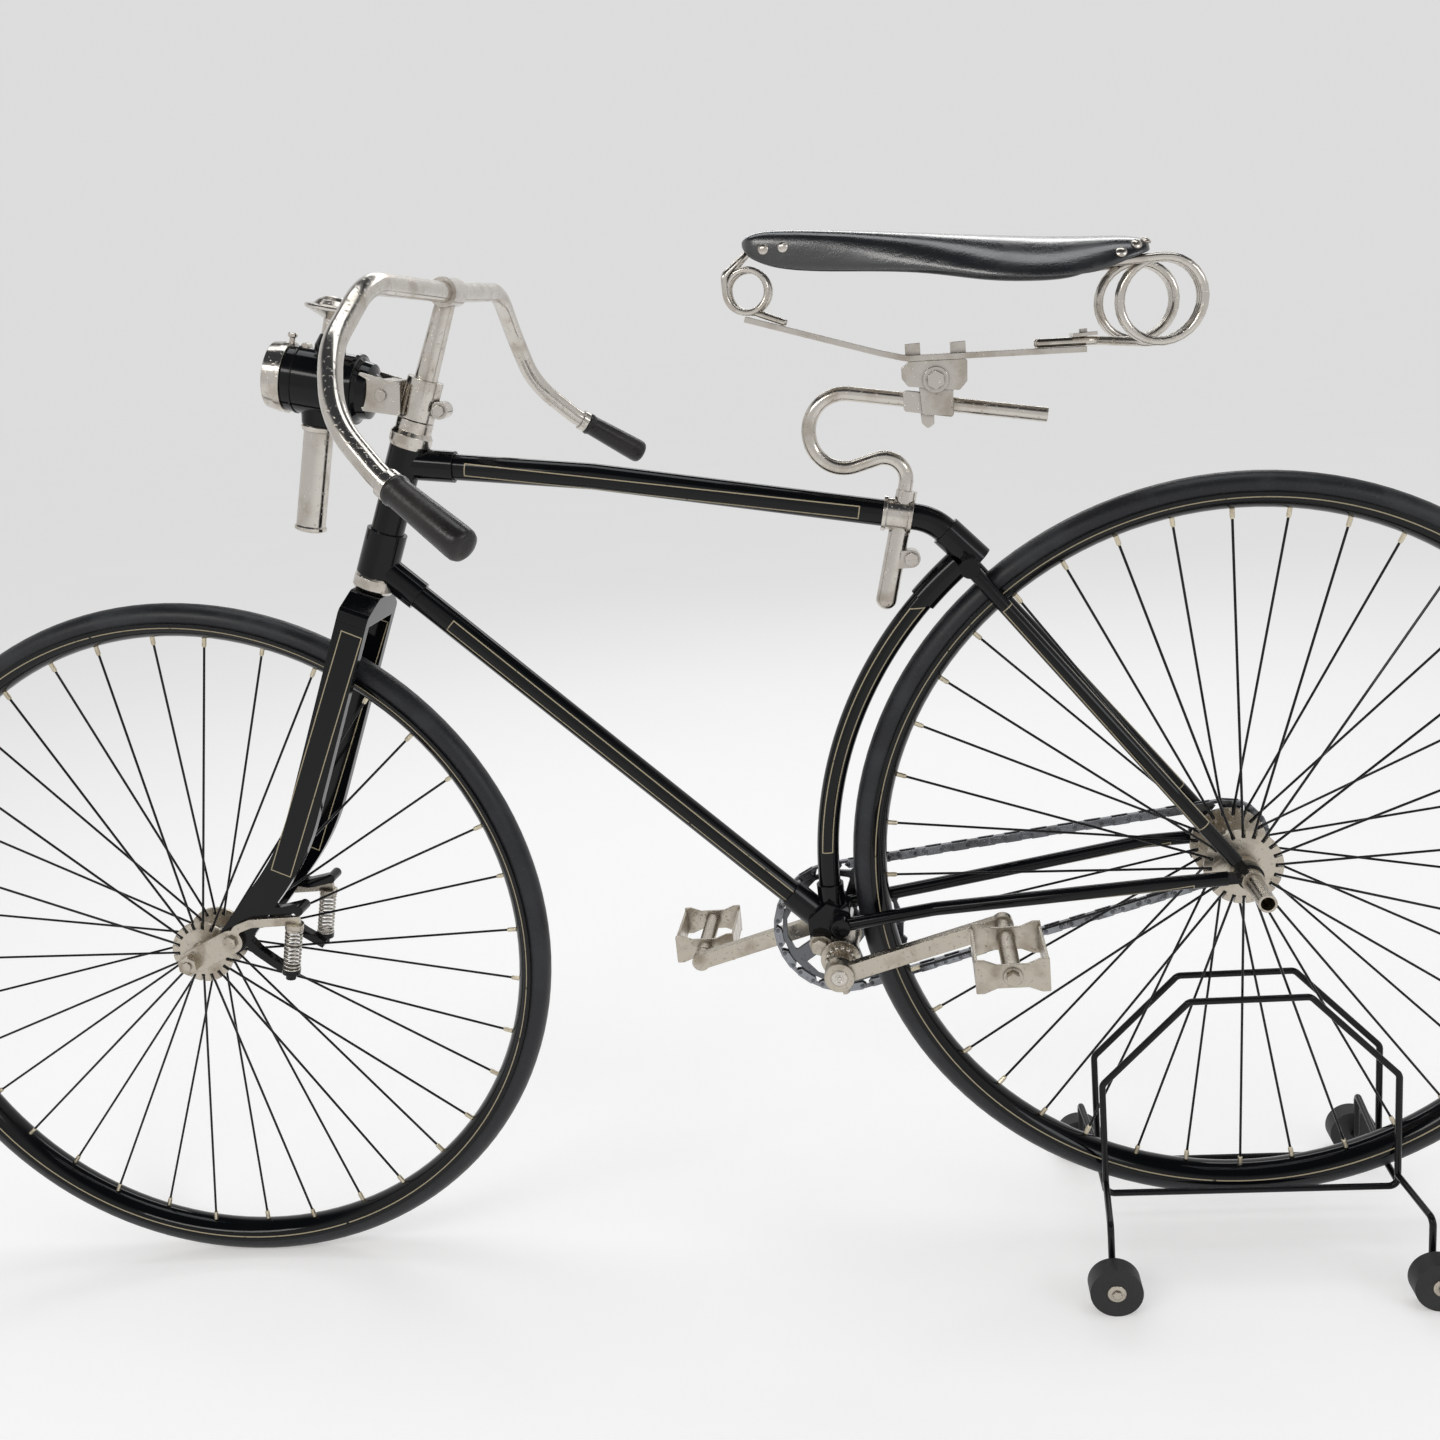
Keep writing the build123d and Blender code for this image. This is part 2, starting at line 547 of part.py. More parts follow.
with BuildPart() as junction_lug:
    cross_pin(JUNCTION_BAR, -CROSSBAR_HALF, CROSSBAR_HALF, CROSSBAR_R)
    fall = (Vector(*side(TOP_END)) - Vector(*side(TOP_BEND_REAR))).normalized()
    rod(Vector(*side(TOP_END)) - fall * 33, Vector(*side(TOP_END)) + fall * 8, TOP_TUBE_R + SOCKET_WALL)
    sleeve_foot, sleeve_head = SEAT_TUBE_HEAD - JUNCTION_SLEEVE_FOOT, SEAT_TUBE_HEAD + JUNCTION_SLEEVE_HEAD
    seat_arc(sleeve_foot, sleeve_head, SEAT_TUBE_R + SOCKET_WALL)
    top_tube_run(TOP_TUBE_R + SEAT, mode=Mode.SUBTRACT)
    seat_arc(SEAT_TUBE_FOOT, SEAT_TUBE_HEAD, SEAT_TUBE_R + SEAT, mode=Mode.SUBTRACT)
junction_lug.part.label = "junction_lug"
export_step(junction_lug.part, "parts/junction_lug.step")

# The stays, round with flat ends on the rear axle
STAY_CUT_R = 20.0
TAB_W, TAB_OVERLAP = 10.0, 4.0
STAY_END = REAR_END_Y + REAR_END_T / 2 + 10
UPPER_KNEE = polar(REAR_HUB, 100.8, JUNCTION_ANGLE)
LOWER_KNEE = near(REAR_HUB, (-75.0, -3.0))[0]
LOWER_BEND = near(BRACKET_BAR, (89.5, 13.0))[0]
UPPER_STAY_BEND, LOWER_STAY_BEND = 60.0, 50.0


def stay_tab(knee, flank):
    """Flatten the end of a stay: a tab from its cut end to the axle."""
    way = Vector(*side(knee)) - Vector(*side(REAR_HUB))
    y_low = flank * REAR_END_Y - REAR_END_T / 2
    with Locations(Plane(origin=side(REAR_HUB, y_low), x_dir=way, z_dir=(0, 1, 0))):
        Box(STAY_CUT_R + TAB_OVERLAP, TAB_W, REAR_END_T, align=(Align.MIN, Align.CENTER, Align.MIN))


with BuildPart() as seat_stays:
    for flank in (-1, 1):
        bent_rod([side(JUNCTION_BAR, flank * STAY_Y), side(UPPER_KNEE, flank * REAR_END_Y),
                  side(REAR_HUB, flank * REAR_END_Y)], UPPER_STAY_BEND, STAY_R)
    cross_pin(JUNCTION_BAR, -CROSSBAR_HALF, CROSSBAR_HALF, CROSSBAR_R + SEAT, mode=Mode.SUBTRACT)
    cross_pin(REAR_HUB, -STAY_END, STAY_END, STAY_CUT_R, mode=Mode.SUBTRACT)
    for flank in (-1, 1):
        stay_tab(UPPER_KNEE, flank)
    cross_pin(REAR_HUB, -STAY_END, STAY_END, REAR_END_R + SEAT, mode=Mode.SUBTRACT)
seat_stays.part.label = "seat_stays"
export_step(seat_stays.part, "parts/seat_stays.step")

with BuildPart() as chain_stays:
    for flank in (-1, 1):
        bent_rod([side(BRACKET_BAR, flank * STAY_Y), side(LOWER_BEND, flank * (STAY_Y + 2)),
                  side(LOWER_KNEE, flank * REAR_END_Y), side(REAR_HUB, flank * REAR_END_Y)],
                 LOWER_STAY_BEND, STAY_R)
    cross_pin(REAR_HUB, -STAY_END, STAY_END, STAY_CUT_R, mode=Mode.SUBTRACT)
    for flank in (-1, 1):
        stay_tab(LOWER_KNEE, flank)
        y_low = flank * REAR_END_Y - REAR_END_T / 2
        cross_pin(REAR_HUB, y_low, y_low + REAR_END_T, REAR_END_R)
    cross_pin(REAR_HUB, -STAY_END, STAY_END, REAR_AXLE_R + SEAT, mode=Mode.SUBTRACT)
    cross_pin(BRACKET_BAR, -CROSSBAR_HALF, CROSSBAR_HALF, CROSSBAR_R + SEAT, mode=Mode.SUBTRACT)
chain_stays.part.label = "chain_stays"
export_step(chain_stays.part, "parts/chain_stays.step")

# The rear axle, its nut and the mounting step on its left end
NUT_T = 8.0
AXLE_SPARE = 4.0
STEP_ROOT = REAR_END_Y + REAR_END_T / 2
STEP_LENGTH = 62.0
STEP_TIP = STEP_ROOT + STEP_LENGTH
AXLE_IN_STEP = 6.0
STEP_R, STEP_BORE_R = 8.0, 6.0

with BuildPart() as rear_axle:
    cross_pin(REAR_HUB, -STEP_ROOT - AXLE_IN_STEP, STEP_ROOT + NUT_T + AXLE_SPARE, REAR_AXLE_R)
    hex_pin(REAR_HUB, STEP_ROOT, STEP_ROOT + NUT_T, REAR_AXLE_R * 2)
rear_axle.part.label = "rear_axle"
export_step(rear_axle.part, "parts/rear_axle.step")

with BuildPart() as mounting_step:
    cross_pin(REAR_HUB, -STEP_ROOT - NUT_T * 1.5, -STEP_ROOT, STEP_R + 2)
    cross_pin(REAR_HUB, -STEP_TIP, -STEP_ROOT, STEP_R)
    cross_pin(REAR_HUB, -STEP_TIP, -STEP_ROOT - NUT_T * 2, STEP_BORE_R, mode=Mode.SUBTRACT)
    bore_end = -STEP_ROOT - AXLE_IN_STEP - SEAT
    cross_pin(REAR_HUB, bore_end, -STEP_ROOT, REAR_AXLE_R + RUNNING, mode=Mode.SUBTRACT)
mounting_step.part.label = "mounting_step"
export_step(mounting_step.part, "parts/mounting_step.step")

# The nickelled crank bracket hangs from a bolt through the lug
SHELL_LEFT, SHELL_RIGHT = -38.0, 34.0
SHELL_LIP = 2.0
CRANK_AXLE_R = 8.0
EAR_IN, EAR_OUT = LUG_HALF + SEAT, LUG_HALF + 10.0
EAR_OUTLINE = near(CRANK, (-29.5, 14.0), (-26.5, 4.0), (-6.5, -4.0), (-0.5, 12.0), (-14.5, 21.0),
                   (-25.5, 21.0))
PIVOT_NUT_T, PIVOT_NUT_R = 6.0, 8.0

with BuildPart() as crank_bracket:
    cross_pin(CRANK, SHELL_LEFT, SHELL_RIGHT, SHELL_R - SHELL_LIP)
    cross_pin(CRANK, SHELL_LEFT, SHELL_LEFT + 8, SHELL_R)
    cross_pin(CRANK, SHELL_RIGHT - 8, SHELL_RIGHT, SHELL_R)
    for flank in (-1, 1):
        plate(EAR_OUTLINE, *span(flank, EAR_IN, EAR_OUT), 2)
        hex_pin(PIVOT, *span(flank, EAR_OUT, EAR_OUT + PIVOT_NUT_T), PIVOT_NUT_R)
    cross_pin(PIVOT, -EAR_OUT - PIVOT_NUT_T, EAR_OUT + PIVOT_NUT_T, PIVOT_R)
    cross_pin(CRANK, SHELL_LEFT, SHELL_RIGHT, CRANK_AXLE_R + RUNNING, mode=Mode.SUBTRACT)
    cross_pin(BRACKET_BAR, -CROSSBAR_HALF, CROSSBAR_HALF, CROSSBAR_R + SEAT, mode=Mode.SUBTRACT)
crank_bracket.part.label = "crank_bracket"
export_step(crank_bracket.part, "parts/crank_bracket.step")

# The cranks, their axle and the large chain wheel
ARM_T, ARM_HALF = 10.0, 8.0
EYE_R, EYE_T = 14.0, 16.0
TIP_EYE_R = 9.5
COTTER_R, COTTER_IN, COTTER_OUT = 3.5, 10.5, 19.0
RING_BOSS_R = 14.0
WINDOWS = 5
PEDAL_PIN_R, PIN_COLLAR_R, PIN_NUT_R, PIN_NUT_T = 5.0, 7.5, 6.0, 5.0
PEDAL_IN = CRANK_Y + 16.0
PEDAL_OUT = PEDAL_IN + 98.0
LEFT_PEDAL = polar(CRANK, CRANK_LENGTH, CRANK_LIFT)
RIGHT_PEDAL = polar(CRANK, CRANK_LENGTH, CRANK_LIFT + pi)

with BuildPart() as crank_axle:
    cross_pin(CRANK, -CRANK_Y - EYE_T / 2, CRANK_Y + EYE_T / 2, CRANK_AXLE_R)
crank_axle.part.label = "crank_axle"
export_step(crank_axle.part, "parts/crank_axle.step")

with BuildPart() as chainring:
    toothed_disc(CRANK, FRONT_TEETH, FRONT_R, FRONT_PHASE, CRANK_AXLE_R + RUNNING)
    cross_pin(CRANK, CHAIN_Y + TOOTH_HALF_W, CRANK_Y - EYE_T / 2 - SEAT, RING_BOSS_R)
    cross_pin(CRANK, CHAIN_Y, CRANK_Y, CRANK_AXLE_R + RUNNING, mode=Mode.SUBTRACT)
    inner, outer = RING_BOSS_R + 10, FRONT_R - 12
    for index in range(WINDOWS):
        middle = FRONT_PHASE + 2 * pi * index / WINDOWS
        corners = ((inner, -0.3), (outer, -0.48), (outer + 3, -0.16), (outer + 3, 0.16), (outer, 0.48),
                   (inner, 0.3))
        window = [polar(CRANK, radius, middle + turn) for radius, turn in corners]
        plate(window, CHAIN_Y - TOOTH_HALF_W * 2, CHAIN_Y + TOOTH_HALF_W * 2, 2, mode=Mode.SUBTRACT)
chainring.part.label = "chainring"
export_step(chainring.part, "parts/chainring.step")


def crank_arm(pedal, flank):
    """Build a crank arm with its eye, cotter and pedal pin on one side."""
    with BuildSketch(facing(max(span(flank, CRANK_Y - ARM_T / 2, CRANK_Y + ARM_T / 2)))) as arm:
        with Locations(CRANK, pedal):
            Circle(ARM_HALF)
        make_hull()
    extrude(arm.sketch, amount=ARM_T, dir=(0, -1, 0))
    cross_pin(pedal, *span(flank, CRANK_Y - ARM_T / 2, CRANK_Y + ARM_T / 2), TIP_EYE_R)
    cross_pin(CRANK, *span(flank, CRANK_Y - EYE_T / 2, CRANK_Y + EYE_T / 2), EYE_R)
    across = CRANK_LIFT + pi / 2
    for angle in (across, across + pi):
        rod(side(polar(CRANK, COTTER_IN, angle), flank * CRANK_Y),
            side(polar(CRANK, COTTER_OUT, angle), flank * CRANK_Y), COTTER_R)
    cross_pin(CRANK, *span(flank, CRANK_Y - EYE_T / 2, CRANK_Y + EYE_T / 2), CRANK_AXLE_R + RUNNING,
              mode=Mode.SUBTRACT)
    cross_pin(pedal, *span(flank, CRANK_Y, PEDAL_OUT + TURNING_GAP), PEDAL_PIN_R)
    cross_pin(pedal, *span(flank, CRANK_Y, PEDAL_IN - TURNING_GAP), PIN_COLLAR_R)
    hex_pin(pedal, *span(flank, PEDAL_OUT + TURNING_GAP, PEDAL_OUT + TURNING_GAP + PIN_NUT_T), PIN_NUT_R)


with BuildPart() as crank_arms:
    crank_arm(LEFT_PEDAL, -1)
    crank_arm(RIGHT_PEDAL, 1)
crank_arms.part.label = "crank_arms"
export_step(crank_arms.part, "parts/crank_arms.step")

PEDAL_BARREL_R = 8.0
CAGE_IN, CAGE_OUT = PEDAL_IN + 15.0, PEDAL_OUT - 2.0
CAGE_T = 2.5
CAGE_HALF_W, CAGE_HALF_H, CAGE_FLARE, CAGE_WAIST = 31.0, 15.0, 24.0, 13.0
CAGE_WAIST_H, STRIP_HALF_H = 10.5, 12.0


def pedal_body(pedal, flank):
    """Build a pedal: its barrel, two waisted end plates and two side strips."""
    cross_pin(pedal, *span(flank, PEDAL_IN, PEDAL_OUT), PEDAL_BARREL_R)
    corners = [(CAGE_HALF_W, CAGE_HALF_H), (CAGE_FLARE, CAGE_HALF_H), (CAGE_WAIST, CAGE_WAIST_H)]
    upper = corners + [(-x, z) for x, z in reversed(corners)]
    outline = near(pedal, *upper, *[(x, -z) for x, z in reversed(upper)])
    for station in (CAGE_IN, CAGE_OUT - CAGE_T):
        plate(outline, *span(flank, station, station + CAGE_T), 1.2)
    for edge in (CAGE_HALF_W, CAGE_T - CAGE_HALF_W):
        strip = near(pedal, (edge, -STRIP_HALF_H), (edge, STRIP_HALF_H), (edge - CAGE_T, STRIP_HALF_H),
                     (edge - CAGE_T, -STRIP_HALF_H))
        plate(strip, *span(flank, CAGE_IN, CAGE_OUT))
    cross_pin(pedal, *span(flank, PEDAL_IN, PEDAL_OUT), PEDAL_PIN_R + RUNNING, mode=Mode.SUBTRACT)


with BuildPart() as pedal_left:
    pedal_body(LEFT_PEDAL, -1)
pedal_left.part.label = "pedal_left"
export_step(pedal_left.part, "parts/pedal_left.step")

with BuildPart() as pedal_right:
    pedal_body(RIGHT_PEDAL, 1)
pedal_right.part.label = "pedal_right"
export_step(pedal_right.part, "parts/pedal_right.step")

# The seat socket and the bent pillar; the saddle hangs on the middle of its clamp bolt
COLLAR_RISE, COLLAR_W = 4.0, 3.5
SOCKET_LUG = near(SLEEVE, (10.0, -40.0))[0]
SOCKET_LUG_R, SOCKET_LUG_HALF = 8.0, 8.0
SOCKET_NUT_R, SOCKET_NUT_T = 6.5, 4.5
PILLAR_LOW, PILLAR_RISE, PILLAR_FRONT = near(SLEEVE, (-10.0, -55.2), (17.0, 58.8), (-69.0, 37.8))
SADDLE = near(SLEEVE, (41.0, 115.8))[0]
PILLAR_TURN, PILLAR_END = near(SADDLE, (-119.0, 3.0), (95.0, -40.0))
PILLAR_BENDS = [20.0, 32.0, 32.0]

with BuildPart() as seat_socket:
    ends = [SLEEVE_MIDDLE - TOP_RUN_WAY * SLEEVE_HALF, SLEEVE_MIDDLE + TOP_RUN_WAY * SLEEVE_HALF]
    rod(ends[0], ends[1], TOP_TUBE_R + SOCKET_WALL)
    rod(ends[0], ends[0] + TOP_RUN_WAY * COLLAR_W, TOP_TUBE_R + COLLAR_RISE)
    rod(ends[1] - TOP_RUN_WAY * COLLAR_W, ends[1], TOP_TUBE_R + COLLAR_RISE)
    rod(ends[0], ends[1], TOP_TUBE_R + SEAT, mode=Mode.SUBTRACT)
    rod(side(SOCKET_LOW), side(SOCKET_TOP), SOCKET_R)
    with Locations(Plane(origin=side(SOCKET_LOW), z_dir=SOCKET_WAY)):
        Sphere(SOCKET_R, arc_size1=-90, arc_size2=0, align=(Align.CENTER, Align.CENTER, Align.MAX))
    cross_pin(SOCKET_LUG, -SOCKET_LUG_HALF, SOCKET_LUG_HALF, SOCKET_LUG_R)
    lug_outline = near(SOCKET_LUG, (-14.0, 8.0), (0.0, 8.0), (0.0, -8.0), (-16.0, -8.0))
    plate(lug_outline, -SOCKET_LUG_HALF, SOCKET_LUG_HALF)
    for flank in (-1, 1):
        hex_pin(SOCKET_LUG, *span(flank, SOCKET_LUG_HALF, SOCKET_LUG_HALF + SOCKET_NUT_T), SOCKET_NUT_R)
    rod(side(PILLAR_LOW), side(PILLAR_RISE), PILLAR_R + SEAT, mode=Mode.SUBTRACT)
seat_socket.part.label = "seat_socket"
export_step(seat_socket.part, "parts/seat_socket.step")

with BuildPart() as seat_pillar:
    path = (PILLAR_LOW, PILLAR_RISE, PILLAR_FRONT, PILLAR_TURN, PILLAR_END)
    bent_rod([side(point) for point in path], PILLAR_BENDS, PILLAR_R)
seat_pillar.part.label = "seat_pillar"
export_step(seat_pillar.part, "parts/seat_pillar.step")

# The saddle clamp: a block under the leaf, a body round the pillar, a bolt with its nuts and a hooked lug
CLAMP_BLOCK = near(SADDLE, (-22.0, 17.1), (28.0, 14.9), (27.0, -4.0), (20.0, -11.0), (-24.0, -4.0),
                   (-29.0, 3.0), (-29.0, 12.0))
CLAMP_BODY = near(SADDLE, (-15.0, 6.0), (16.0, 4.0), (13.0, -32.0), (-13.0, -29.0))
CLAMP_SHOE = near(SADDLE, (-29.0, -7.0), (-29.0, -25.0), (14.0, -34.0), (15.0, -16.0))
CLAMP_HOOK = near(SADDLE, (-15.0, -20.0), (-3.0, -22.0), (-3.0, -38.0), (-9.0, -42.0), (-14.0, -37.0))
BLOCK_HALF, BODY_HALF, SHOE_HALF, HOOK_HALF = 14.0, 12.0, 9.0, 5.0
SADDLE_BOLT_R, SADDLE_BOLT_HALF, SADDLE_NUT_R, SADDLE_NUT_HALF = 11.0, 18.0, 8.0, 23.0
LEAF_W, LEAF_T = 30.0, 5.0
LEAF_PATH = near(SADDLE, (-161.0, 66.6), (-46.0, 26.5), (-24.0, 20.0), (129.0, 13.0))
LEAF_HEADS = near(SADDLE, (-18.0, 22.0), (21.0, 20.0))
LEAF_HEAD_W, LEAF_HEAD_H = 13.0, 10.0

with BuildPart() as saddle_clamp:
    plate(CLAMP_BLOCK, -BLOCK_HALF, BLOCK_HALF, 2)
    plate(CLAMP_BODY, -BODY_HALF, BODY_HALF, 2)
    plate(CLAMP_SHOE, -SHOE_HALF, SHOE_HALF, 3)
    plate(CLAMP_HOOK, -HOOK_HALF, HOOK_HALF, 2)
    cross_pin(SADDLE, -SADDLE_BOLT_HALF, SADDLE_BOLT_HALF, SADDLE_BOLT_R)
    hex_pin(SADDLE, -SADDLE_NUT_HALF, SADDLE_NUT_HALF, SADDLE_NUT_R)
    rod(side(PILLAR_TURN), side(PILLAR_END), PILLAR_R + SEAT, mode=Mode.SUBTRACT)
saddle_clamp.part.label = "saddle_clamp"
export_step(saddle_clamp.part, "parts/saddle_clamp.step")

with BuildPart() as saddle_leaf:
    bent_strip(LEAF_PATH, 20, LEAF_W, LEAF_T)
    for head in LEAF_HEADS:
        with Locations(side(head)):
            Box(LEAF_HEAD_W, LEAF_HEAD_W, LEAF_HEAD_H, align=LOW)
saddle_leaf.part.label = "saddle_leaf"
export_step(saddle_leaf.part, "parts/saddle_leaf.step")

# The saddle's coils; each coil's leads are placed from its middle
FRONT_COIL = near(SADDLE, (-157.0, 90.0))[0]
FRONT_COIL_R, FRONT_WIRE_R, FRONT_TURNS, FRONT_PITCH = 18.0, 2.75, 1.25, 5.8
FRONT_COIL_Y = 12.0
REAR_COIL = near(SADDLE, (183.0, 48.0))[0]
REAR_COIL_R, REAR_WIRE_R, REAR_TURNS, REAR_PITCH = 33.0, 3.65, 2.5, 7.6
REAR_COIL_Y = 72.0
LEAD_Y = 9.0
COIL_SIDES = 8


def wind(start, direction, turns, pitch, coil_r, wire_r, sides, turn=0):
    """Wind a coil from a start about an axis, turned to begin elsewhere."""
    with BuildLine() as run:
        coil = Helix(pitch, pitch * turns, coil_r, center=start, direction=direction, mode=Mode.PRIVATE)
        add(coil.rotate(Axis(start, direction), turn))
    with BuildSketch(Plane(origin=run.line @ 0, z_dir=run.line % 0)) as section:
        RegularPolygon(wire_r, sides)
    sweep(section.sketch, path=run.line, is_frenet=True)


with BuildPart() as saddle_front_coils:
    wind(side(FRONT_COIL, FRONT_COIL_Y), (0, 1, 0), FRONT_TURNS, FRONT_PITCH, FRONT_COIL_R, FRONT_WIRE_R,
         COIL_SIDES, 180)
    foot, knee, leaf_end = near(FRONT_COIL, (0.2, -FRONT_COIL_R), (4.0, -FRONT_COIL_R - 0.4), (31.0, -29.8))
    bent_rod([side(foot, FRONT_COIL_Y), side(knee, FRONT_COIL_Y), side(leaf_end, FRONT_COIL_Y)], 4,
             FRONT_WIRE_R, COIL_SIDES)
    outer = FRONT_COIL_Y + FRONT_TURNS * FRONT_PITCH
    foot, knee, nose_end = near(FRONT_COIL, (-FRONT_COIL_R, 0.3), (-FRONT_COIL_R, 15.0), (3.0, 32.0))
    bent_rod([side(foot, outer), side(knee, outer + 0.7), side(nose_end, 4)], 7, FRONT_WIRE_R, COIL_SIDES)
    mirror(about=Plane.XZ)
saddle_front_coils.part.label = "saddle_front_coils"
export_step(saddle_front_coils.part, "parts/saddle_front_coils.step")

with BuildPart() as saddle_rear_coils:
    wind(side(REAR_COIL, -REAR_COIL_Y), (0, 1, 0), REAR_TURNS, REAR_PITCH, REAR_COIL_R, REAR_WIRE_R,
         COIL_SIDES)
    inner = REAR_TURNS * REAR_PITCH - REAR_COIL_Y
    bottom = -REAR_COIL_R
    foot, knee, lead, clip = near(REAR_COIL, (-0.2, bottom), (-11.0, bottom), (-47.0, bottom + 4.3),
                                  (-96.0, bottom + 6.5))
    bent_rod([side(foot, inner), side(knee, inner + 0.4), side(lead, -LEAD_Y), side(clip, -LEAD_Y)], 14,
             REAR_WIRE_R, COIL_SIDES)
    tip, top = near(REAR_COIL, (-42.0, REAR_COIL_R), (-0.2, REAR_COIL_R))
    rod(side(tip, -REAR_COIL_Y - 1.6), side(top, -REAR_COIL_Y), REAR_WIRE_R)
    mirror(about=Plane.XZ)
saddle_rear_coils.part.label = "saddle_rear_coils"
export_step(saddle_rear_coils.part, "parts/saddle_rear_coils.step")

CLIP_LOW, CLIP_TOP = -8.0, 6.0
CLIP_PLACE = near(SADDLE, (128.0, 24.0))[0]

with BuildPart() as saddle_clip:
    with Locations(side(CLIP_PLACE)):
        Box(20, LEAF_W + 2, 3, align=LOW)
    clip_ends = near(CLIP_PLACE, (0.0, CLIP_LOW), (0.0, CLIP_TOP))
    rod(side(clip_ends[0]), side(clip_ends[1]), 3.5)
saddle_clip.part.label = "saddle_clip"
export_step(saddle_clip.part, "parts/saddle_clip.step")

# The leather seat: sections (behind the clamp bolt, half width, edge above the bolt, crown above it)
LEATHER_T = 4.0
LEATHER = [
    (-159.0, 11.0, 124.0, 132.5),
    (-154.0, 16.0, 118.5, 136.3),
    (-142.0, 21.5, 111.0, 139.0),
    (-126.0, 24.0, 105.5, 137.8),
    (-95.0, 28.0, 100.5, 134.4),
    (-55.0, 34.0, 97.0, 129.0),
    (-7.0, 46.0, 92.0, 122.5),
    (32.0, 62.0, 83.5, 117.0),
    (61.0, 73.0, 77.5, 113.0),
    (97.0, 82.0, 73.0, 108.0),
    (136.0, 86.0, 78.0, 103.5),
    (161.0, 82.0, 84.0, 100.5),
    (177.0, 70.0, 89.0, 96.0),
]
CANTLE_REACH, CANTLE_T, CANTLE_GAP = 19.0, 3.0, 0.8
NOSE_PATH = near(SADDLE, (-157.0, 125.0), (-142.0, 131.3), (-128.0, 131.6))
NOSE_W, NOSE_T = 12.0, 3.0


def leather_arch(x, half, edge, crown, inset, depth):
    """Draw the arch across the seat, so far inside its outer face and so deep."""
    with BuildSketch(Plane(origin=side(near(SADDLE, (x, 0))[0]), x_dir=(0, 1, 0), z_dir=(1, 0, 0))) as arch:
        outline = []
        for inner in (inset, inset + depth):
            rise, width = crown - edge - inner, half - inner
            right = [(width, edge), (width * 0.97, edge + rise * 0.45), (width * 0.8, edge + rise * 0.8),
                     (width * 0.45, edge + rise * 0.96)]
            points = [(-y, z) for y, z in right] + [(0, edge + rise)] + right[::-1]
            outline += points if inner == inset else reversed(points)
        Polygon(*outline, align=None)
    return arch.sketch


with BuildPart() as saddle_leather:
    loft([leather_arch(*row, 0, LEATHER_T).face() for row in LEATHER], ruled=True)
saddle_leather.part.label = "saddle_leather"
export_step(saddle_leather.part, "parts/saddle_leather.step")

with BuildPart() as saddle_cantle:
    rear_x, half, edge, crown = LEATHER[-2]
    arch = leather_arch(rear_x - CANTLE_REACH, half, edge + 1, crown, LEATHER_T + CANTLE_GAP, CANTLE_T)
    extrude(arch, amount=CANTLE_REACH)
saddle_cantle.part.label = "saddle_cantle"
export_step(saddle_cantle.part, "parts/saddle_cantle.step")

with BuildPart() as saddle_nose:
    bent_strip(NOSE_PATH, 10, NOSE_W, NOSE_T)
saddle_nose.part.label = "saddle_nose"
export_step(saddle_nose.part, "parts/saddle_nose.step")

# The fork: crown with its steerer, two blades with horns, links and springs; places from the front hub
CROWN = Plane(origin=HEAD.origin, x_dir=(0, 1, 0), z_dir=BACK)
BLADE_IN, BLADE_OUT = 33.0, 43.0
BLADE_HALF, BLADE_BEND = 14.5, 260.0
CROWN_FLAT, CROWN_SHOULDER = 20.0, 10.0
STEERER_FOOT = CROWN_LOW + 5
BLADE_KNEE, LINK_PIVOT = near(FRONT_HUB, (124.0, 105.4), (46.0, 20.4))
LOWER_HORN = near(FRONT_HUB, (57.5, 22.4), (68.5, 6.4), (84.5, -7.6), (104.5, -21.6))
UPPER_HORN = near(FRONT_HUB, (84.5, 50.4), (100.0, 47.0), (123.5, 51.0))
LOWER_HORN_W, UPPER_HORN_W = 8.0, 9.0
LINK_T = 5.0
LINK_IN = BLADE_OUT + 0.5
LINK_OUT = LINK_IN + LINK_T
LINK_EYE_R, LINK_ARM_W = 12.0, 8.5
LINK_NUT_R, LINK_NUT_T = 7.0, 4.0
LINK_ARM = near(FRONT_HUB, (46.0, 20.4), (54.5, 33.4), (69.5, 38.4), (120.5, 38.9))
SPRING_Y = (LINK_IN + LINK_OUT) / 2
SPRING_HEAD, SPRING_FOOT = near(FRONT_HUB, (113.6, 31.4), (103.0, -11.6))
SPRING_WAY = (Vector(*side(SPRING_HEAD)) - Vector(*side(SPRING_FOOT))).normalized()
SPRING_COIL_R, SPRING_WIRE_R, SPRING_TURNS = 7.6, 1.3, 9.5
WASHER_R, WASHER_T = 9.0, 2.2
SEAT_PAD_T, NUT_BELOW = 5.0, 11.0
CAP_PIN_R = 5.0

with BuildPart() as fork_crown:
    with BuildSketch(CROWN) as outline:
        Polygon((-BLADE_OUT, CROWN_LOW), (BLADE_OUT, CROWN_LOW), (BLADE_OUT, CROWN_LOW + CROWN_SHOULDER),
                (CROWN_FLAT, CROWN_TOP), (-CROWN_FLAT, CROWN_TOP), (-BLADE_OUT, CROWN_LOW + CROWN_SHOULDER),
                align=None)
        fillet(outline.vertices().sort_by(Axis.Y)[-4:], 8)
    extrude(outline.sketch, amount=BLADE_HALF, both=True)
    barrel(HEAD.offset(STEERER_FOOT), STEERER_TOP - STEERER_FOOT, STEERER_R)
fork_crown.part.label = "fork_crown"
export_step(fork_crown.part, "parts/fork_crown.step")


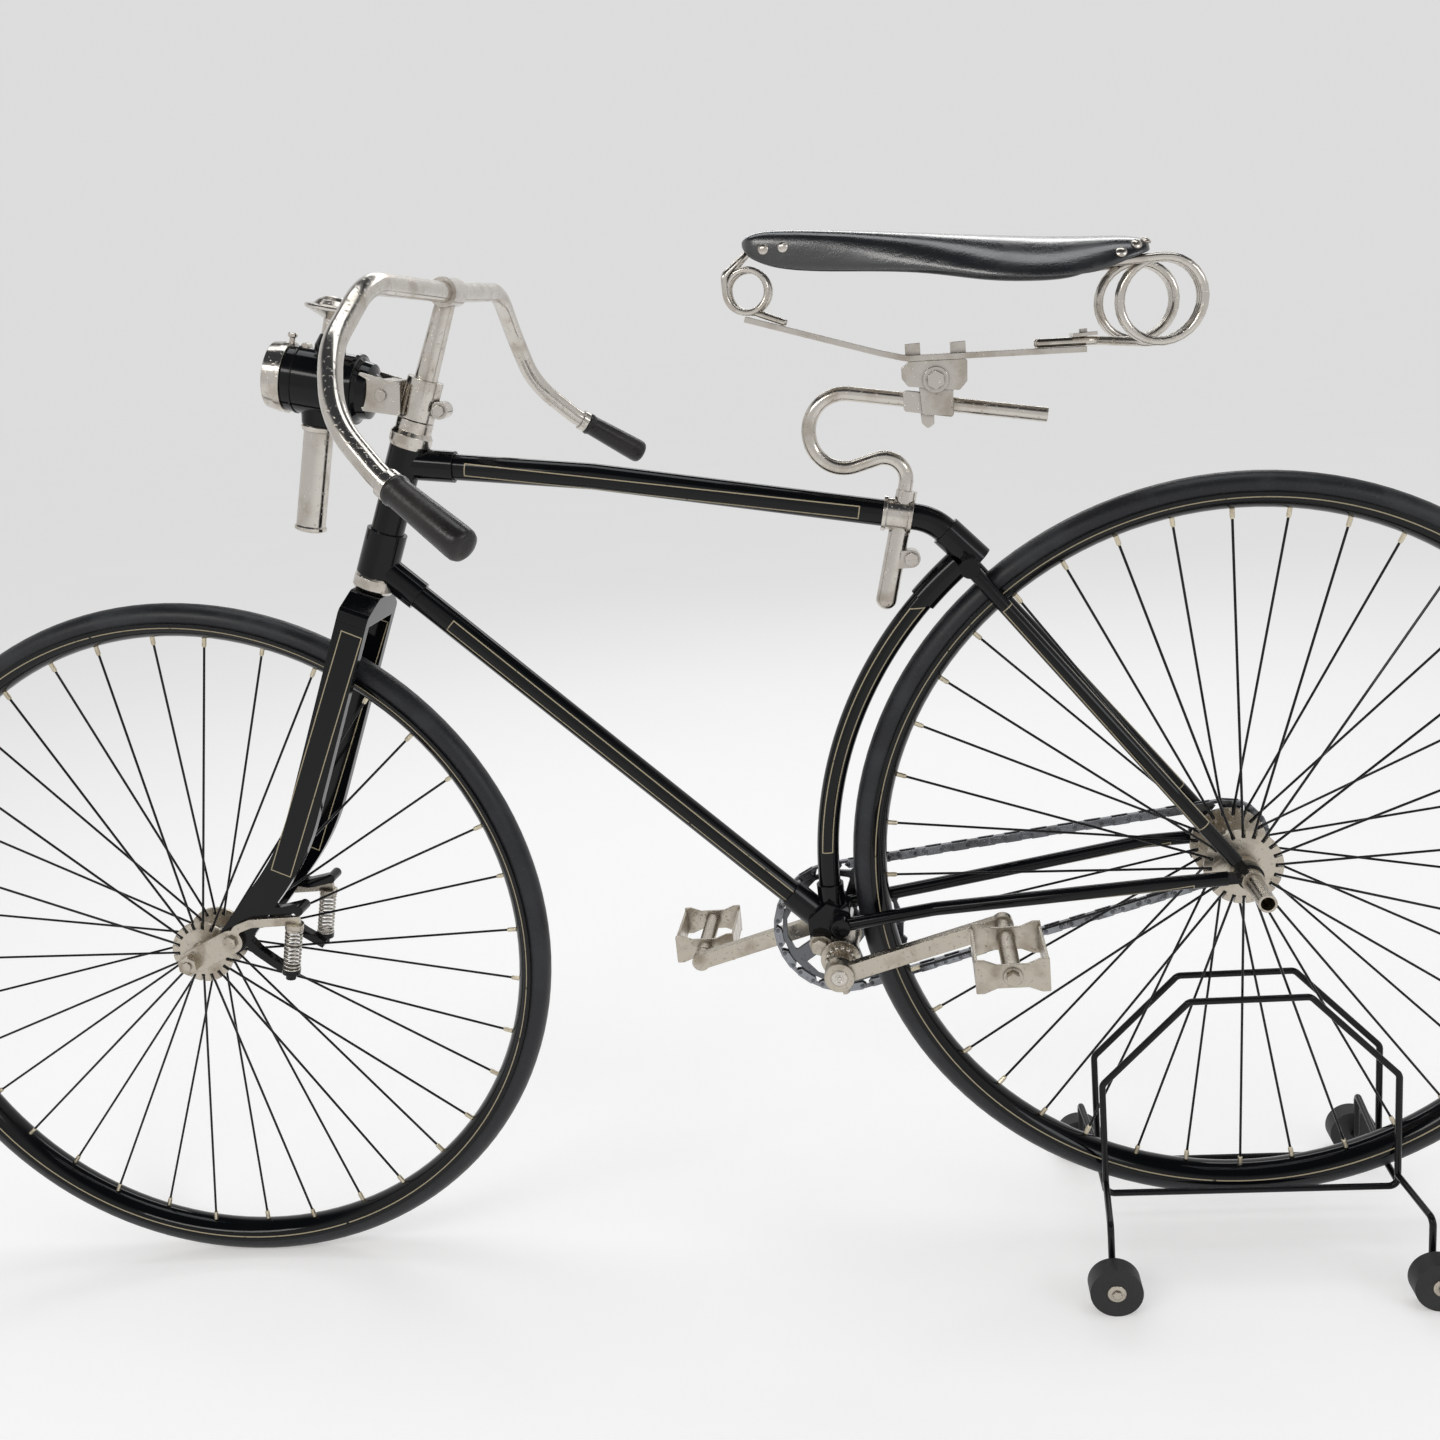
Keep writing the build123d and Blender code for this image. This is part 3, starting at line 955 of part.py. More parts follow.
def blade(flank):
    """Build one flat fork blade with its two horns and the seats of its spring."""
    y_low, y_high = span(flank, BLADE_IN, BLADE_OUT)
    top = head_point(CROWN_LOW - SEAT)
    bent_plate([(top.X, top.Z), BLADE_KNEE, LINK_PIVOT], BLADE_BEND, BLADE_HALF * 2, y_low, y_high)
    cross_pin(LINK_PIVOT, y_low, y_high, BLADE_HALF)
    bent_plate(LOWER_HORN, 12, LOWER_HORN_W, y_low, y_high)
    bent_plate(UPPER_HORN, 10, UPPER_HORN_W, y_low, y_high)
    cross_pin(UPPER_HORN[-1], *span(flank, BLADE_IN, LINK_OUT + 5), CAP_PIN_R)
    foot = Vector(*side(SPRING_FOOT, flank * SPRING_Y))
    rod(foot, foot - SPRING_WAY * SEAT_PAD_T, WASHER_R)
    rod(foot, foot - SPRING_WAY * NUT_BELOW, CAP_PIN_R)


with BuildPart() as fork_blades:
    for flank in (-1, 1):
        blade(flank)
fork_blades.part.label = "fork_blades"
export_step(fork_blades.part, "parts/fork_blades.step")

AXLE_NUT = LINK_OUT + NUT_T
AXLE_COLLAR_R = 8.0

with BuildPart() as front_axle:
    cross_pin(FRONT_HUB, -AXLE_NUT - 2, AXLE_NUT + 2, FRONT_AXLE_R)
    for flank in (-1, 1):
        cross_pin(FRONT_HUB, *span(flank, FRONT_HUB_END + TURNING_GAP, LINK_IN), AXLE_COLLAR_R)
        hex_pin(FRONT_HUB, *span(flank, LINK_OUT, AXLE_NUT), 10)
front_axle.part.label = "front_axle"
export_step(front_axle.part, "parts/front_axle.step")

with BuildPart() as spring_links:
    for flank in (-1, 1):
        y_low, y_high = span(flank, LINK_IN, LINK_OUT)
        with BuildSketch(facing(y_high)) as face:
            with Locations(FRONT_HUB, LINK_PIVOT):
                Circle(LINK_EYE_R)
            make_hull()
        extrude(face.sketch, amount=LINK_T, dir=(0, -1, 0))
        bent_plate(LINK_ARM, 8, LINK_ARM_W, y_low, y_high)
        hex_pin(LINK_PIVOT, *span(flank, BLADE_OUT, LINK_OUT + LINK_NUT_T), LINK_NUT_R)
        head = Vector(*side(SPRING_HEAD, flank * SPRING_Y))
        rod(head, head + SPRING_WAY * SEAT_PAD_T, WASHER_R)
        cross_pin(FRONT_HUB, y_low, y_high, FRONT_AXLE_R + SEAT, mode=Mode.SUBTRACT)
spring_links.part.label = "spring_links"
export_step(spring_links.part, "parts/spring_links.step")

with BuildPart() as fork_springs:
    for flank in (-1, 1):
        foot = Vector(*side(SPRING_FOOT, flank * SPRING_Y)) + SPRING_WAY * SEAT
        head = Vector(*side(SPRING_HEAD, flank * SPRING_Y)) - SPRING_WAY * SEAT
        height = (head - foot).length - WASHER_T
        wind(foot + SPRING_WAY * WASHER_T / 2, SPRING_WAY, SPRING_TURNS, height / SPRING_TURNS, SPRING_COIL_R,
             SPRING_WIRE_R, 4)
        rod(foot, foot + SPRING_WAY * WASHER_T, WASHER_R)
        rod(head - SPRING_WAY * WASHER_T, head, WASHER_R)
fork_springs.part.label = "fork_springs"
export_step(fork_springs.part, "parts/fork_springs.step")

# The steering head: clamp, stem and handlebar
BAR_R = 9.0
BAR_CENTRE = head_point(BAR_U)
CLAMP_R = 16.5
CLAMP_EAR_U, CLAMP_EAR_BACK, CLAMP_EAR_R, CLAMP_EAR_HALF = 176.0, 21.0, 8.0, 9.0
CLAMP_SLOT = 2.0
STEM_HALF, STEM_WALL = 18.0, 4.0

with BuildPart() as head_clamp:
    barrel(HEAD.offset(CLAMP_LOW), CLAMP_TOP - CLAMP_LOW, CLAMP_R)
    ear = head_point(CLAMP_EAR_U, CLAMP_EAR_BACK)
    cross_pin((ear.X, ear.Z), -CLAMP_EAR_HALF, CLAMP_EAR_HALF, CLAMP_EAR_R)
    neck = [head_point(CLAMP_EAR_U + rise, back) for rise, back in ((6, 5), (6, 20), (-6, 20), (-6, 5))]
    plate([(corner.X, corner.Z) for corner in neck], -CLAMP_EAR_HALF + 1, CLAMP_EAR_HALF - 1)
    hex_pin((ear.X, ear.Z), -CLAMP_EAR_HALF - 4, CLAMP_EAR_HALF + 4, 5.5)
    barrel(HEAD.offset(CLAMP_LOW), CLAMP_TOP - CLAMP_LOW, STEERER_R + RUNNING, mode=Mode.SUBTRACT)
head_clamp.part.label = "head_clamp"
export_step(head_clamp.part, "parts/head_clamp.step")

with BuildPart() as stem:
    half = Vector(0, STEM_HALF, 0)
    rod(BAR_CENTRE - half, BAR_CENTRE + half, BAR_R + STEM_WALL)
    rod(BAR_CENTRE - half, BAR_CENTRE + half, BAR_R + RUNNING, mode=Mode.SUBTRACT)
    barrel(HEAD.offset(STEERER_TOP), BAR_U - BAR_R - 1 - STEERER_TOP, STEERER_R, BAR_R)
stem.part.label = "stem"
export_step(stem.part, "parts/stem.step")

# The right half of the bar from its middle to the grip, as offsets from the bar's centre
BAR_OFFSETS = [(0, 25, 0), (-5, 200, 4), (-13, 278, -43), (-7, 312, -92), (31, 338, -134)]
GRIP_OFFSET = (95.5, 372.4, -184)
BAR_BEND = 100.0
GRIP_FROM, BAR_SHORT = 13.0, 6.0
GRIP_R, GRIP_END_R, FERRULE_R, FERRULE_W = 11.0, 13.0, 11.4, 7.0
BAR_HALF = [BAR_CENTRE + Vector(*offset) for offset in BAR_OFFSETS]
GRIP_END = BAR_CENTRE + Vector(*GRIP_OFFSET)
GRIP_WAY = (GRIP_END - BAR_HALF[-1]).normalized()
GRIP_START = BAR_HALF[-1] + GRIP_WAY * GRIP_FROM
BAR_END = GRIP_END - GRIP_WAY * BAR_SHORT


def mirrored(point):
    """Return a point carried across to the left side."""
    return Vector(point.X, -point.Y, point.Z)


with BuildPart() as handlebar:
    right = BAR_HALF + [BAR_END]
    bent_rod([mirrored(point) for point in reversed(right)] + right, BAR_BEND, BAR_R)
    ferrule = GRIP_START - GRIP_WAY * FERRULE_W
    rod(ferrule, GRIP_START, FERRULE_R)
    rod(mirrored(ferrule), mirrored(GRIP_START), FERRULE_R)
handlebar.part.label = "handlebar"
export_step(handlebar.part, "parts/handlebar.step")

with BuildPart() as grips:
    left = (GRIP_START, GRIP_END, BAR_END)
    for ends in (left, [mirrored(point) for point in left]):
        start, end, core = ends
        rod(start + (end - start).normalized() * SEAT, end, GRIP_R, GRIP_END_R)
        rod(start, core + (end - core) * 0.1, BAR_R + SEAT, mode=Mode.SUBTRACT)
grips.part.label = "grips"
export_step(grips.part, "parts/grips.step")

# The lamp, leaning back with the head; its outlines are stations (radius, forward of its middle)
LAMP_LEAN = radians(15)
LAMP_UP_HEAD, LAMP_AHEAD = 163.8, -97.4
LAMP_R = 30.0
LAMP_MIDDLE = head_point(LAMP_UP_HEAD, LAMP_AHEAD)
LAMP_CENTRE = (LAMP_MIDDLE.X, LAMP_MIDDLE.Z)
LAMP_FRONT = Vector(-cos(LAMP_LEAN), 0, sin(LAMP_LEAN))
LAMP_UP = Vector(sin(LAMP_LEAN), 0, cos(LAMP_LEAN))
LAMP_BACK = [(0.0, -64.0), (9.0, -63.0), (15.0, -59.0), (17.0, -56.0), (25.0, -53.0), (26.5, -45.0),
             (LAMP_R, -42.0)]
NECK_AHEAD, TUBE_AHEAD = -10.0, -6.0
NECK_TOP, NECK_R = 44.0, 12.0
SKIRT_LOW, SKIRT_R = 38.0, 16.0
CHIMNEY = [(9.0, NECK_TOP), (8.0, 58.0), (14.0, 61.0), (25.0, 66.0), (26.0, 68.0), (25.0, 69.5), (18.0, 70.5),
           (14.0, 74.5), (8.0, 77.5), (0.0, 78.5)]
CANDLE_TUBE = [(15.0, SKIRT_LOW), (16.5, SKIRT_LOW + 2), (15.0, SKIRT_LOW + 6), (13.5, SKIRT_LOW + 6),
               (13.5, 132.0), (14.8, 133.5), (14.8, 136.0), (13.0, 137.5), (0.0, 137.5)]


def spun(origin, way, profile, mode=Mode.ADD):
    """Turn (radius, distance) stations about an axis that lies in the side view."""
    plane = Plane(origin=origin, x_dir=way.cross(Vector(0, 1, 0)), z_dir=(0, 1, 0))
    along = plane.y_dir.dot(way)
    with BuildSketch(plane) as section:
        Polygon(*[(radius, distance * along) for radius, distance in profile], align=None)
    revolve(section.sketch, axis=Axis(origin, way), mode=mode)


with BuildPart() as lamp_body:
    spun(LAMP_MIDDLE, LAMP_FRONT, LAMP_BACK + [(LAMP_R, 24), (26, 24), (20, -8), (0, -12)])
    neck, skirt = LAMP_MIDDLE + LAMP_FRONT * NECK_AHEAD, LAMP_MIDDLE + LAMP_FRONT * TUBE_AHEAD
    spun(neck, LAMP_UP, [(0, 22), (NECK_R + 2, 22), (NECK_R + 2, 34), (NECK_R - 2, NECK_TOP - SEAT),
                         (0, NECK_TOP - SEAT)])
    spun(skirt, LAMP_UP * -1, [(0, 22), (SKIRT_R + 2, 22), (SKIRT_R, SKIRT_LOW - SEAT),
                               (0, SKIRT_LOW - SEAT)])
lamp_body.part.label = "lamp_body"
export_step(lamp_body.part, "parts/lamp_body.step")

with BuildPart() as lamp_ring:
    spun(LAMP_MIDDLE, LAMP_FRONT, [(26, 24.1), (32, 24.1), (32, 30), (30, 41), (25, 41), (25, 38.5),
                                   (28, 38.5), (28, 34), (26, 34)])
lamp_ring.part.label = "lamp_ring"
export_step(lamp_ring.part, "parts/lamp_ring.step")

with BuildPart() as lamp_glass:
    spun(LAMP_MIDDLE, LAMP_FRONT, [(0, 35), (27.8, 35), (27.8, 38), (0, 40)])
lamp_glass.part.label = "lamp_glass"
export_step(lamp_glass.part, "parts/lamp_glass.step")

with BuildPart() as lamp_chimney:
    spun(neck, LAMP_UP, [(0, NECK_TOP)] + CHIMNEY)
lamp_chimney.part.label = "lamp_chimney"
export_step(lamp_chimney.part, "parts/lamp_chimney.step")

with BuildPart() as lamp_candle_tube:
    spun(skirt, LAMP_UP * -1, [(0, SKIRT_LOW)] + CANDLE_TUBE)
lamp_candle_tube.part.label = "lamp_candle_tube"
export_step(lamp_candle_tube.part, "parts/lamp_candle_tube.step")

HANGER = near(LAMP_CENTRE, (48.0, 6.0), (85.0, -9.0), (81.0, -37.0), (46.0, -29.0))
HANGER_BACK = near(LAMP_CENTRE, (68.0, -3.0), (78.0, -6.0), (74.0, -34.0), (65.0, -32.0))
HANGER_BUTTON = near(LAMP_CENTRE, (66.0, -17.0))[0]
HANGER_IN, HANGER_OUT = 19.0, 22.0

with BuildPart() as lamp_bracket:
    for flank in (-1, 1):
        plate(HANGER, *span(flank, HANGER_IN, HANGER_OUT), 3)
        cross_pin(HANGER_BUTTON, *span(flank, HANGER_IN, HANGER_OUT + 2.5), 5)
    plate(HANGER_BACK, -HANGER_OUT, HANGER_OUT)
    grown = [(radius + SEAT if radius else 0, forward - SEAT) for radius, forward in LAMP_BACK]
    spun(LAMP_MIDDLE, LAMP_FRONT, grown + [(LAMP_R + SEAT, 30), (0, 30)], mode=Mode.SUBTRACT)
    barrel(HEAD.offset(CLAMP_LOW - 20), CLAMP_TOP - CLAMP_LOW + 40, CLAMP_R + SEAT, mode=Mode.SUBTRACT)
lamp_bracket.part.label = "lamp_bracket"
export_step(lamp_bracket.part, "parts/lamp_bracket.step")

# The display stand, its wires bent and welded, with four small wheels; its height follows the tyre it cradles
STAND_R = 3.2
STAND_SIDES = 8
STAND_FRONT, STAND_REAR = -133.0, 140.0
HOOP_Y = 29.0
CRADLE_R = WHEEL_R + STAND_R + SOFT_GAP
HOOP_LOW = REAR_HUB[1] - sqrt(CRADLE_R ** 2 - STAND_FRONT ** 2) - 2.0
HOOP_BEND, HOOP_TOP = HOOP_LOW + 117.8, HOOP_LOW + 201.5
TOP_FRONT, TOP_REAR = -50.2, 60.2
LEG_Y = 112.0
LEG_ROOT, LEG_TOP = HOOP_LOW + 11.4, HOOP_LOW + 18.4
STAND_WHEEL_R, STAND_WHEEL_W = 24.0, 20.0
STAND_WHEEL_Y = LEG_Y + 18.5
FOOT_SPARE = 3.0
FRONT_FOOT, REAR_FOOT = STAND_FRONT - 7.0, STAND_REAR + 4.0

with BuildPart() as stand_hoops:
    corners = [(STAND_REAR, HOOP_LOW), (STAND_REAR, HOOP_BEND), (TOP_REAR, HOOP_TOP),
               (TOP_FRONT, HOOP_TOP), (STAND_FRONT, HOOP_BEND), (STAND_FRONT, HOOP_LOW)]
    for flank in (-1, 1):
        bent_rod([side((REAR_HUB[0] + x, z), flank * HOOP_Y) for x, z in corners], 8, STAND_R, STAND_SIDES,
                 close=True)
stand_hoops.part.label = "stand_hoops"
export_step(stand_hoops.part, "parts/stand_hoops.step")

with BuildPart() as stand_cross_rods:
    for offset in (STAND_FRONT, STAND_REAR):
        cradle = (REAR_HUB[0] + offset, REAR_HUB[1] - sqrt(CRADLE_R ** 2 - offset ** 2))
        cross_pin(cradle, STAND_R - HOOP_Y, HOOP_Y - STAND_R, STAND_R)
stand_cross_rods.part.label = "stand_cross_rods"
export_step(stand_cross_rods.part, "parts/stand_cross_rods.step")

with BuildPart() as stand_legs:
    for root, tip in ((STAND_FRONT, FRONT_FOOT), (STAND_REAR, REAR_FOOT)):
        upright, foot = REAR_HUB[0] + root, (REAR_HUB[0] + tip, STAND_WHEEL_R)
        for flank in (-1, 1):
            end = STAND_WHEEL_Y + STAND_WHEEL_W / 2 + FOOT_SPARE
            points = [side((upright, LEG_ROOT), flank * HOOP_Y), side((foot[0], LEG_TOP), flank * LEG_Y),
                      side(foot, flank * LEG_Y), side(foot, flank * end)]
            bent_rod(points, 7, STAND_R)
            ends = [side((upright, height - 10), flank * HOOP_Y) for height in (HOOP_LOW, HOOP_BEND)]
            rod(ends[0], ends[1], STAND_R + SEAT, mode=Mode.SUBTRACT)
stand_legs.part.label = "stand_legs"
export_step(stand_legs.part, "parts/stand_legs.step")


def stand_wheel(offset, flank):
    """Build one small solid wheel on the foot of a leg."""
    foot = (REAR_HUB[0] + offset, STAND_WHEEL_R)
    y_low = flank * STAND_WHEEL_Y - STAND_WHEEL_W / 2
    cross_pin(foot, y_low, y_low + STAND_WHEEL_W, STAND_WHEEL_R)
    cross_pin(foot, y_low, y_low + STAND_WHEEL_W, STAND_R + RUNNING, mode=Mode.SUBTRACT)


with BuildPart() as stand_wheel_front_left:
    stand_wheel(FRONT_FOOT, -1)
stand_wheel_front_left.part.label = "stand_wheel_front_left"
export_step(stand_wheel_front_left.part, "parts/stand_wheel_front_left.step")

with BuildPart() as stand_wheel_front_right:
    stand_wheel(FRONT_FOOT, 1)
stand_wheel_front_right.part.label = "stand_wheel_front_right"
export_step(stand_wheel_front_right.part, "parts/stand_wheel_front_right.step")

with BuildPart() as stand_wheel_rear_left:
    stand_wheel(REAR_FOOT, -1)
stand_wheel_rear_left.part.label = "stand_wheel_rear_left"
export_step(stand_wheel_rear_left.part, "parts/stand_wheel_rear_left.step")

with BuildPart() as stand_wheel_rear_right:
    stand_wheel(REAR_FOOT, 1)
stand_wheel_rear_right.part.label = "stand_wheel_rear_right"
export_step(stand_wheel_rear_right.part, "parts/stand_wheel_rear_right.step")
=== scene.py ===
import logging
import math
from collections.abc import Mapping, Sequence
from dataclasses import dataclass, field
from enum import Enum, IntEnum
from functools import cache

import bmesh
import bpy
from mathutils import Matrix, Vector


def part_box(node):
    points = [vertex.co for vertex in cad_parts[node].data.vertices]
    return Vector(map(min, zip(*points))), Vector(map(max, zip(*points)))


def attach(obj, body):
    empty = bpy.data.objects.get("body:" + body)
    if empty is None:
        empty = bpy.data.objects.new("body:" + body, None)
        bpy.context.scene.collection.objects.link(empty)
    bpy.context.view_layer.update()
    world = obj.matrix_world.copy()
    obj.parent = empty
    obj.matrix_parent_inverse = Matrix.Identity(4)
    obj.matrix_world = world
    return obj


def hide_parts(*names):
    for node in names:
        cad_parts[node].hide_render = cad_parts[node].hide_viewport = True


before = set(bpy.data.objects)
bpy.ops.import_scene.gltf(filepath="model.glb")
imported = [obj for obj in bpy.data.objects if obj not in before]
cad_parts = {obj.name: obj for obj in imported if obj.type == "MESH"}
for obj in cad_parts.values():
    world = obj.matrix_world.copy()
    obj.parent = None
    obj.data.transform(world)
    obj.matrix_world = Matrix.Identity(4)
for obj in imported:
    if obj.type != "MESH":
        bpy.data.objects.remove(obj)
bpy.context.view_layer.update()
log = logging.getLogger("safety_bicycle")

# A pair of lengths is most often a place seen from the side, (x, z)
Pair = tuple[float, float]
Place = tuple[float, float, float]
Colour = tuple[float, float, float]
# Stations shape a turned piece: distances along its axis and the radii there
Stations = Sequence[Pair]

MM = 0.001
ACROSS = Vector((0, 1, 0))
# The hubs, seen from the side, in millimetres
FRONT_HUB: Pair = (-509.5, 355.6)
REAR_HUB: Pair = (509.5, 392.3)
# The saddle's clamp bolt lies this far behind the tip of the hide and below its crown, in millimetres
SADDLE_AHEAD, SADDLE_ABOVE = 159.0, 139.0
# The gold lining keeps this far off the middle plane, in metres
LINING_CLEAR = 0.004


def at(x: float, y: float, z: float) -> Vector:
    """Return a place given in millimetres as a vector in metres."""
    return Vector((x, y, z)) * MM


def rounded(corners: Sequence[Vector], bends: Sequence[float], steps: int = 8) -> list[Vector]:
    """Run straight between corners and round each inner one with an arc.

    Args:
        corners: The corners in metres, the two ends among them.
        bends: The radius in metres at each inner corner.
        steps: How many pieces each arc has.

    Returns:
        The points of the run.
    """
    run = [corners[0]]
    for before, corner, after, bend in zip(corners, corners[1:], corners[2:], bends):
        first, last = (before - corner).normalized(), (after - corner).normalized()
        half = first.angle(last) / 2
        middle = corner + (first + last).normalized() * (bend / math.sin(half))
        start = (corner + first * (bend / math.tan(half)) - middle).normalized()
        end = (corner + last * (bend / math.tan(half)) - middle).normalized()
        run += [middle + start.slerp(end, step / steps).normalized() * bend for step in range(steps + 1)]
    return run + [corners[-1]]


def enter(name: str, data: bpy.types.ID) -> bpy.types.Object:
    """Bring data into the scene.

    Args:
        name: The new object's name.
        data: Its mesh, lamp or camera.

    Returns:
        The object.
    """
    made = bpy.data.objects.new(name, data)
    bpy.context.scene.collection.objects.link(made)
    return made


class Body(Enum):
    """The bodies that the pieces made here ride on."""

    FRAME = "frame"
    STEERING = "steering"
    FRONT_WHEEL = "front_wheel"
    REAR_WHEEL = "rear_wheel"
    CRANK = "crank"
    CASTOR_FRONT_LEFT = "small_wheel_front_left"
    CASTOR_FRONT_RIGHT = "small_wheel_front_right"
    CASTOR_REAR_LEFT = "small_wheel_rear_left"
    CASTOR_REAR_RIGHT = "small_wheel_rear_right"


class End(Enum):
    """The two ends of the bicycle."""

    FRONT = "front"
    REAR = "rear"


class Flank(IntEnum):
    """The two sides of the bicycle, as the sign of Y."""

    LEFT = -1
    RIGHT = 1


class Slot(Enum):
    """The record's material slots for the pieces made here."""

    BLACK_ENAMEL = "black_enamel"
    NICKEL = "nickel"
    DULL_NICKEL = "dull_nickel"
    OILED_STEEL = "oiled_steel"
    SADDLE_LEATHER = "saddle_leather"
    GRIP = "grip"


@dataclass(frozen=True)
class Signal:
    """A shader socket that takes part in ordinary arithmetic."""

    graph: "Graph"
    socket: bpy.types.NodeSocket

    def maths(self, operation: str, *terms: "Term") -> "Signal":
        """Add a Math node.

        Args:
            operation: The name of the Math node's operation.
            terms: Its values, in the order of its sockets.

        Returns:
            The node's value.
        """
        return self.graph.node("ShaderNodeMath", {"operation": operation}, dict(enumerate(terms)))

    def __add__(self, other: "Term") -> "Signal":
        """Add a value."""
        return self.maths("ADD", self, other)

    def __radd__(self, other: "Term") -> "Signal":
        """Add to a value."""
        return self.maths("ADD", other, self)

    def __sub__(self, other: "Term") -> "Signal":
        """Take a value away."""
        return self.maths("SUBTRACT", self, other)

    def __rsub__(self, other: "Term") -> "Signal":
        """Take this from a value."""
        return self.maths("SUBTRACT", other, self)

    def __mul__(self, other: "Term") -> "Signal":
        """Multiply by a value."""
        return self.maths("MULTIPLY", self, other)

    def __pow__(self, other: "Term") -> "Signal":
        """Raise to a power."""
        return self.maths("POWER", self, other)

    def __abs__(self) -> "Signal":
        """Drop the sign."""
        return self.maths("ABSOLUTE", self)

    def below(self, limit: "Term") -> "Signal":
        """Give 1 where the value is under a limit."""
        return self.maths("LESS_THAN", self, limit)

    def above(self, limit: "Term") -> "Signal":
        """Give 1 where the value is over a limit."""
        return self.maths("GREATER_THAN", self, limit)

    def larger(self, other: "Term") -> "Signal":
        """Give the larger of two values."""
        return self.maths("MAXIMUM", self, other)

    def rise(self, low: float, high: float) -> "Signal":
        """Rise smoothly from 0 at one value to 1 at another."""
        sockets = {0: self, 1: low, 2: high}
        return self.graph.node("ShaderNodeMapRange", {"interpolation_type": "SMOOTHSTEP"}, sockets)


Term = Signal | float | Sequence[float]


class Graph:
    """The nodes of one material or of the world."""

    def __init__(self, tree: bpy.types.NodeTree, shader: str) -> None:
        """Work on a tree and on its plain shader."""
        self.tree = tree
        self.shader = tree.nodes[shader]

    @classmethod
    def of_material(cls, name: str) -> tuple["Graph", bpy.types.Material]:
        """Start a material.

        Args:
            name: The material's name.

        Returns:
            Its graph and the material.
        """
        material = bpy.data.materials.new(name)
        material.use_nodes = True
        return cls(material.node_tree, "Principled BSDF"), material

    def node(self, kind: str, settings: Mapping[str, object], sockets: Mapping[int | str, Term],
             output: int | str = 0) -> Signal:
        """Add a node.

        Args:
            kind: The node's type.
            settings: Its own settings, made first.
            sockets: Values or signals for its input sockets.
            output: Which output to hand back.

        Returns:
            The chosen output.
        """
        made = self.tree.nodes.new(kind)
        for name, value in settings.items():
            setattr(made, name, value)
        for name, value in sockets.items():
            self.feed(made.inputs[name], value)
        return Signal(self, made.outputs[output])

    def feed(self, socket: bpy.types.NodeSocket, value: Term) -> None:
        """Link a signal to a socket, or set the socket to a value.

        Args:
            socket: The input socket.
            value: The signal or the value; a colour gets full opacity.
        """
        if isinstance(value, Signal):
            self.tree.links.new(value.socket, socket)
        elif socket.type == "RGBA":
            socket.default_value = (*value, 1.0)
        else:
            socket.default_value = value

    def set(self, **values: Term) -> None:
        """Feed the shader's sockets, named with underscores for spaces."""
        for name, value in values.items():
            self.feed(self.shader.inputs[name.replace("_", " ")], value)

    def place(self) -> Signal:
        """Give the place on the object in metres."""
        return self.node("ShaderNodeTexCoord", {}, {}, "Object")

    def axes(self, place: Signal) -> tuple[Signal, Signal, Signal]:
        """Split a place into x, y and z."""
        split = self.node("ShaderNodeSeparateXYZ", {}, {0: place})
        return tuple(Signal(self, output) for output in split.socket.node.outputs)

    def noise(self, place: Signal, scale: float, detail: float = 2.0) -> Signal:
        """Give soft noise at a scale, in repeats a metre."""
        return self.node("ShaderNodeTexNoise", {}, {"Vector": place, "Scale": scale, "Detail": detail})

    def cells(self, place: Signal, scale: float) -> Signal:
        """Give the distance to the nearest cell middle, for grain and pits."""
        return self.node("ShaderNodeTexVoronoi", {}, {"Vector": place, "Scale": scale})

    def stretched(self, place: Signal, factors: Sequence[float]) -> Signal:
        """Scale a place by factors along x, y and z."""
        return self.node("ShaderNodeVectorMath", {"operation": "MULTIPLY"}, {0: place, 1: factors})

    def mix(self, share: Term, first: Term, second: Term) -> Signal:
        """Blend two colours by a share."""
        return self.node("ShaderNodeMix", {"data_type": "RGBA"}, {0: share, 6: first, 7: second}, 2)

    def bump(self, height: Signal, depth: float, strength: float, edge: float = 0.0) -> Signal:
        """Turn a height into a shading normal.

        Args:
            height: The height, from 0 to 1.
            depth: How deep 1 is, in metres.
            strength: The share of the effect.
            edge: The radius in metres to which sharp edges look rounded.

        Returns:
            The normal.
        """
        sockets = {"Strength": strength, "Distance": depth, "Height": height}
        if edge:
            sockets["Normal"] = self.node("ShaderNodeBevel", {"samples": 6}, {"Radius": edge})
        return self.node("ShaderNodeBump", {}, sockets)

    def occlusion(self, reach: float) -> Signal:
        """Give ambient occlusion for painted shade: 1 deep in corners and 0 on open faces, within a reach in
        metres.
        """
        settings = {"samples": 6, "only_local": True}
        return 1.0 - self.node("ShaderNodeAmbientOcclusion", settings, {"Distance": reach}, "AO")

    def seen(self) -> Signal:
        """Give 1 for rays from the camera, off polished surfaces and through glass."""
        rays = [self.node("ShaderNodeLightPath", {}, {}, f"Is {kind} Ray")
                for kind in ("Camera", "Glossy", "Transmission")]
        return rays[0].larger(rays[1]).larger(rays[2])


class Lining:
    """A pair of fine gold lines on a tube, joined at both ends; sizes are in millimetres."""

    HALF = 0.5

    def outside(self, x: Signal, z: Signal) -> Signal:
        """Give how far a place lies outside the figure that the lines go round."""
        raise NotImplementedError

    def mask(self, graph: Graph, place: Signal) -> Signal:
        """Mark the lining.

        Args:
            graph: The material's nodes.
            place: The place on the object in metres.

        Returns:
            1 on the lines and 0 elsewhere.
        """
        x, y, z = graph.axes(place)
        outside = self.outside(x * 1000.0, z * 1000.0)
        return abs(outside).below(self.HALF) * abs(y).above(LINING_CLEAR)


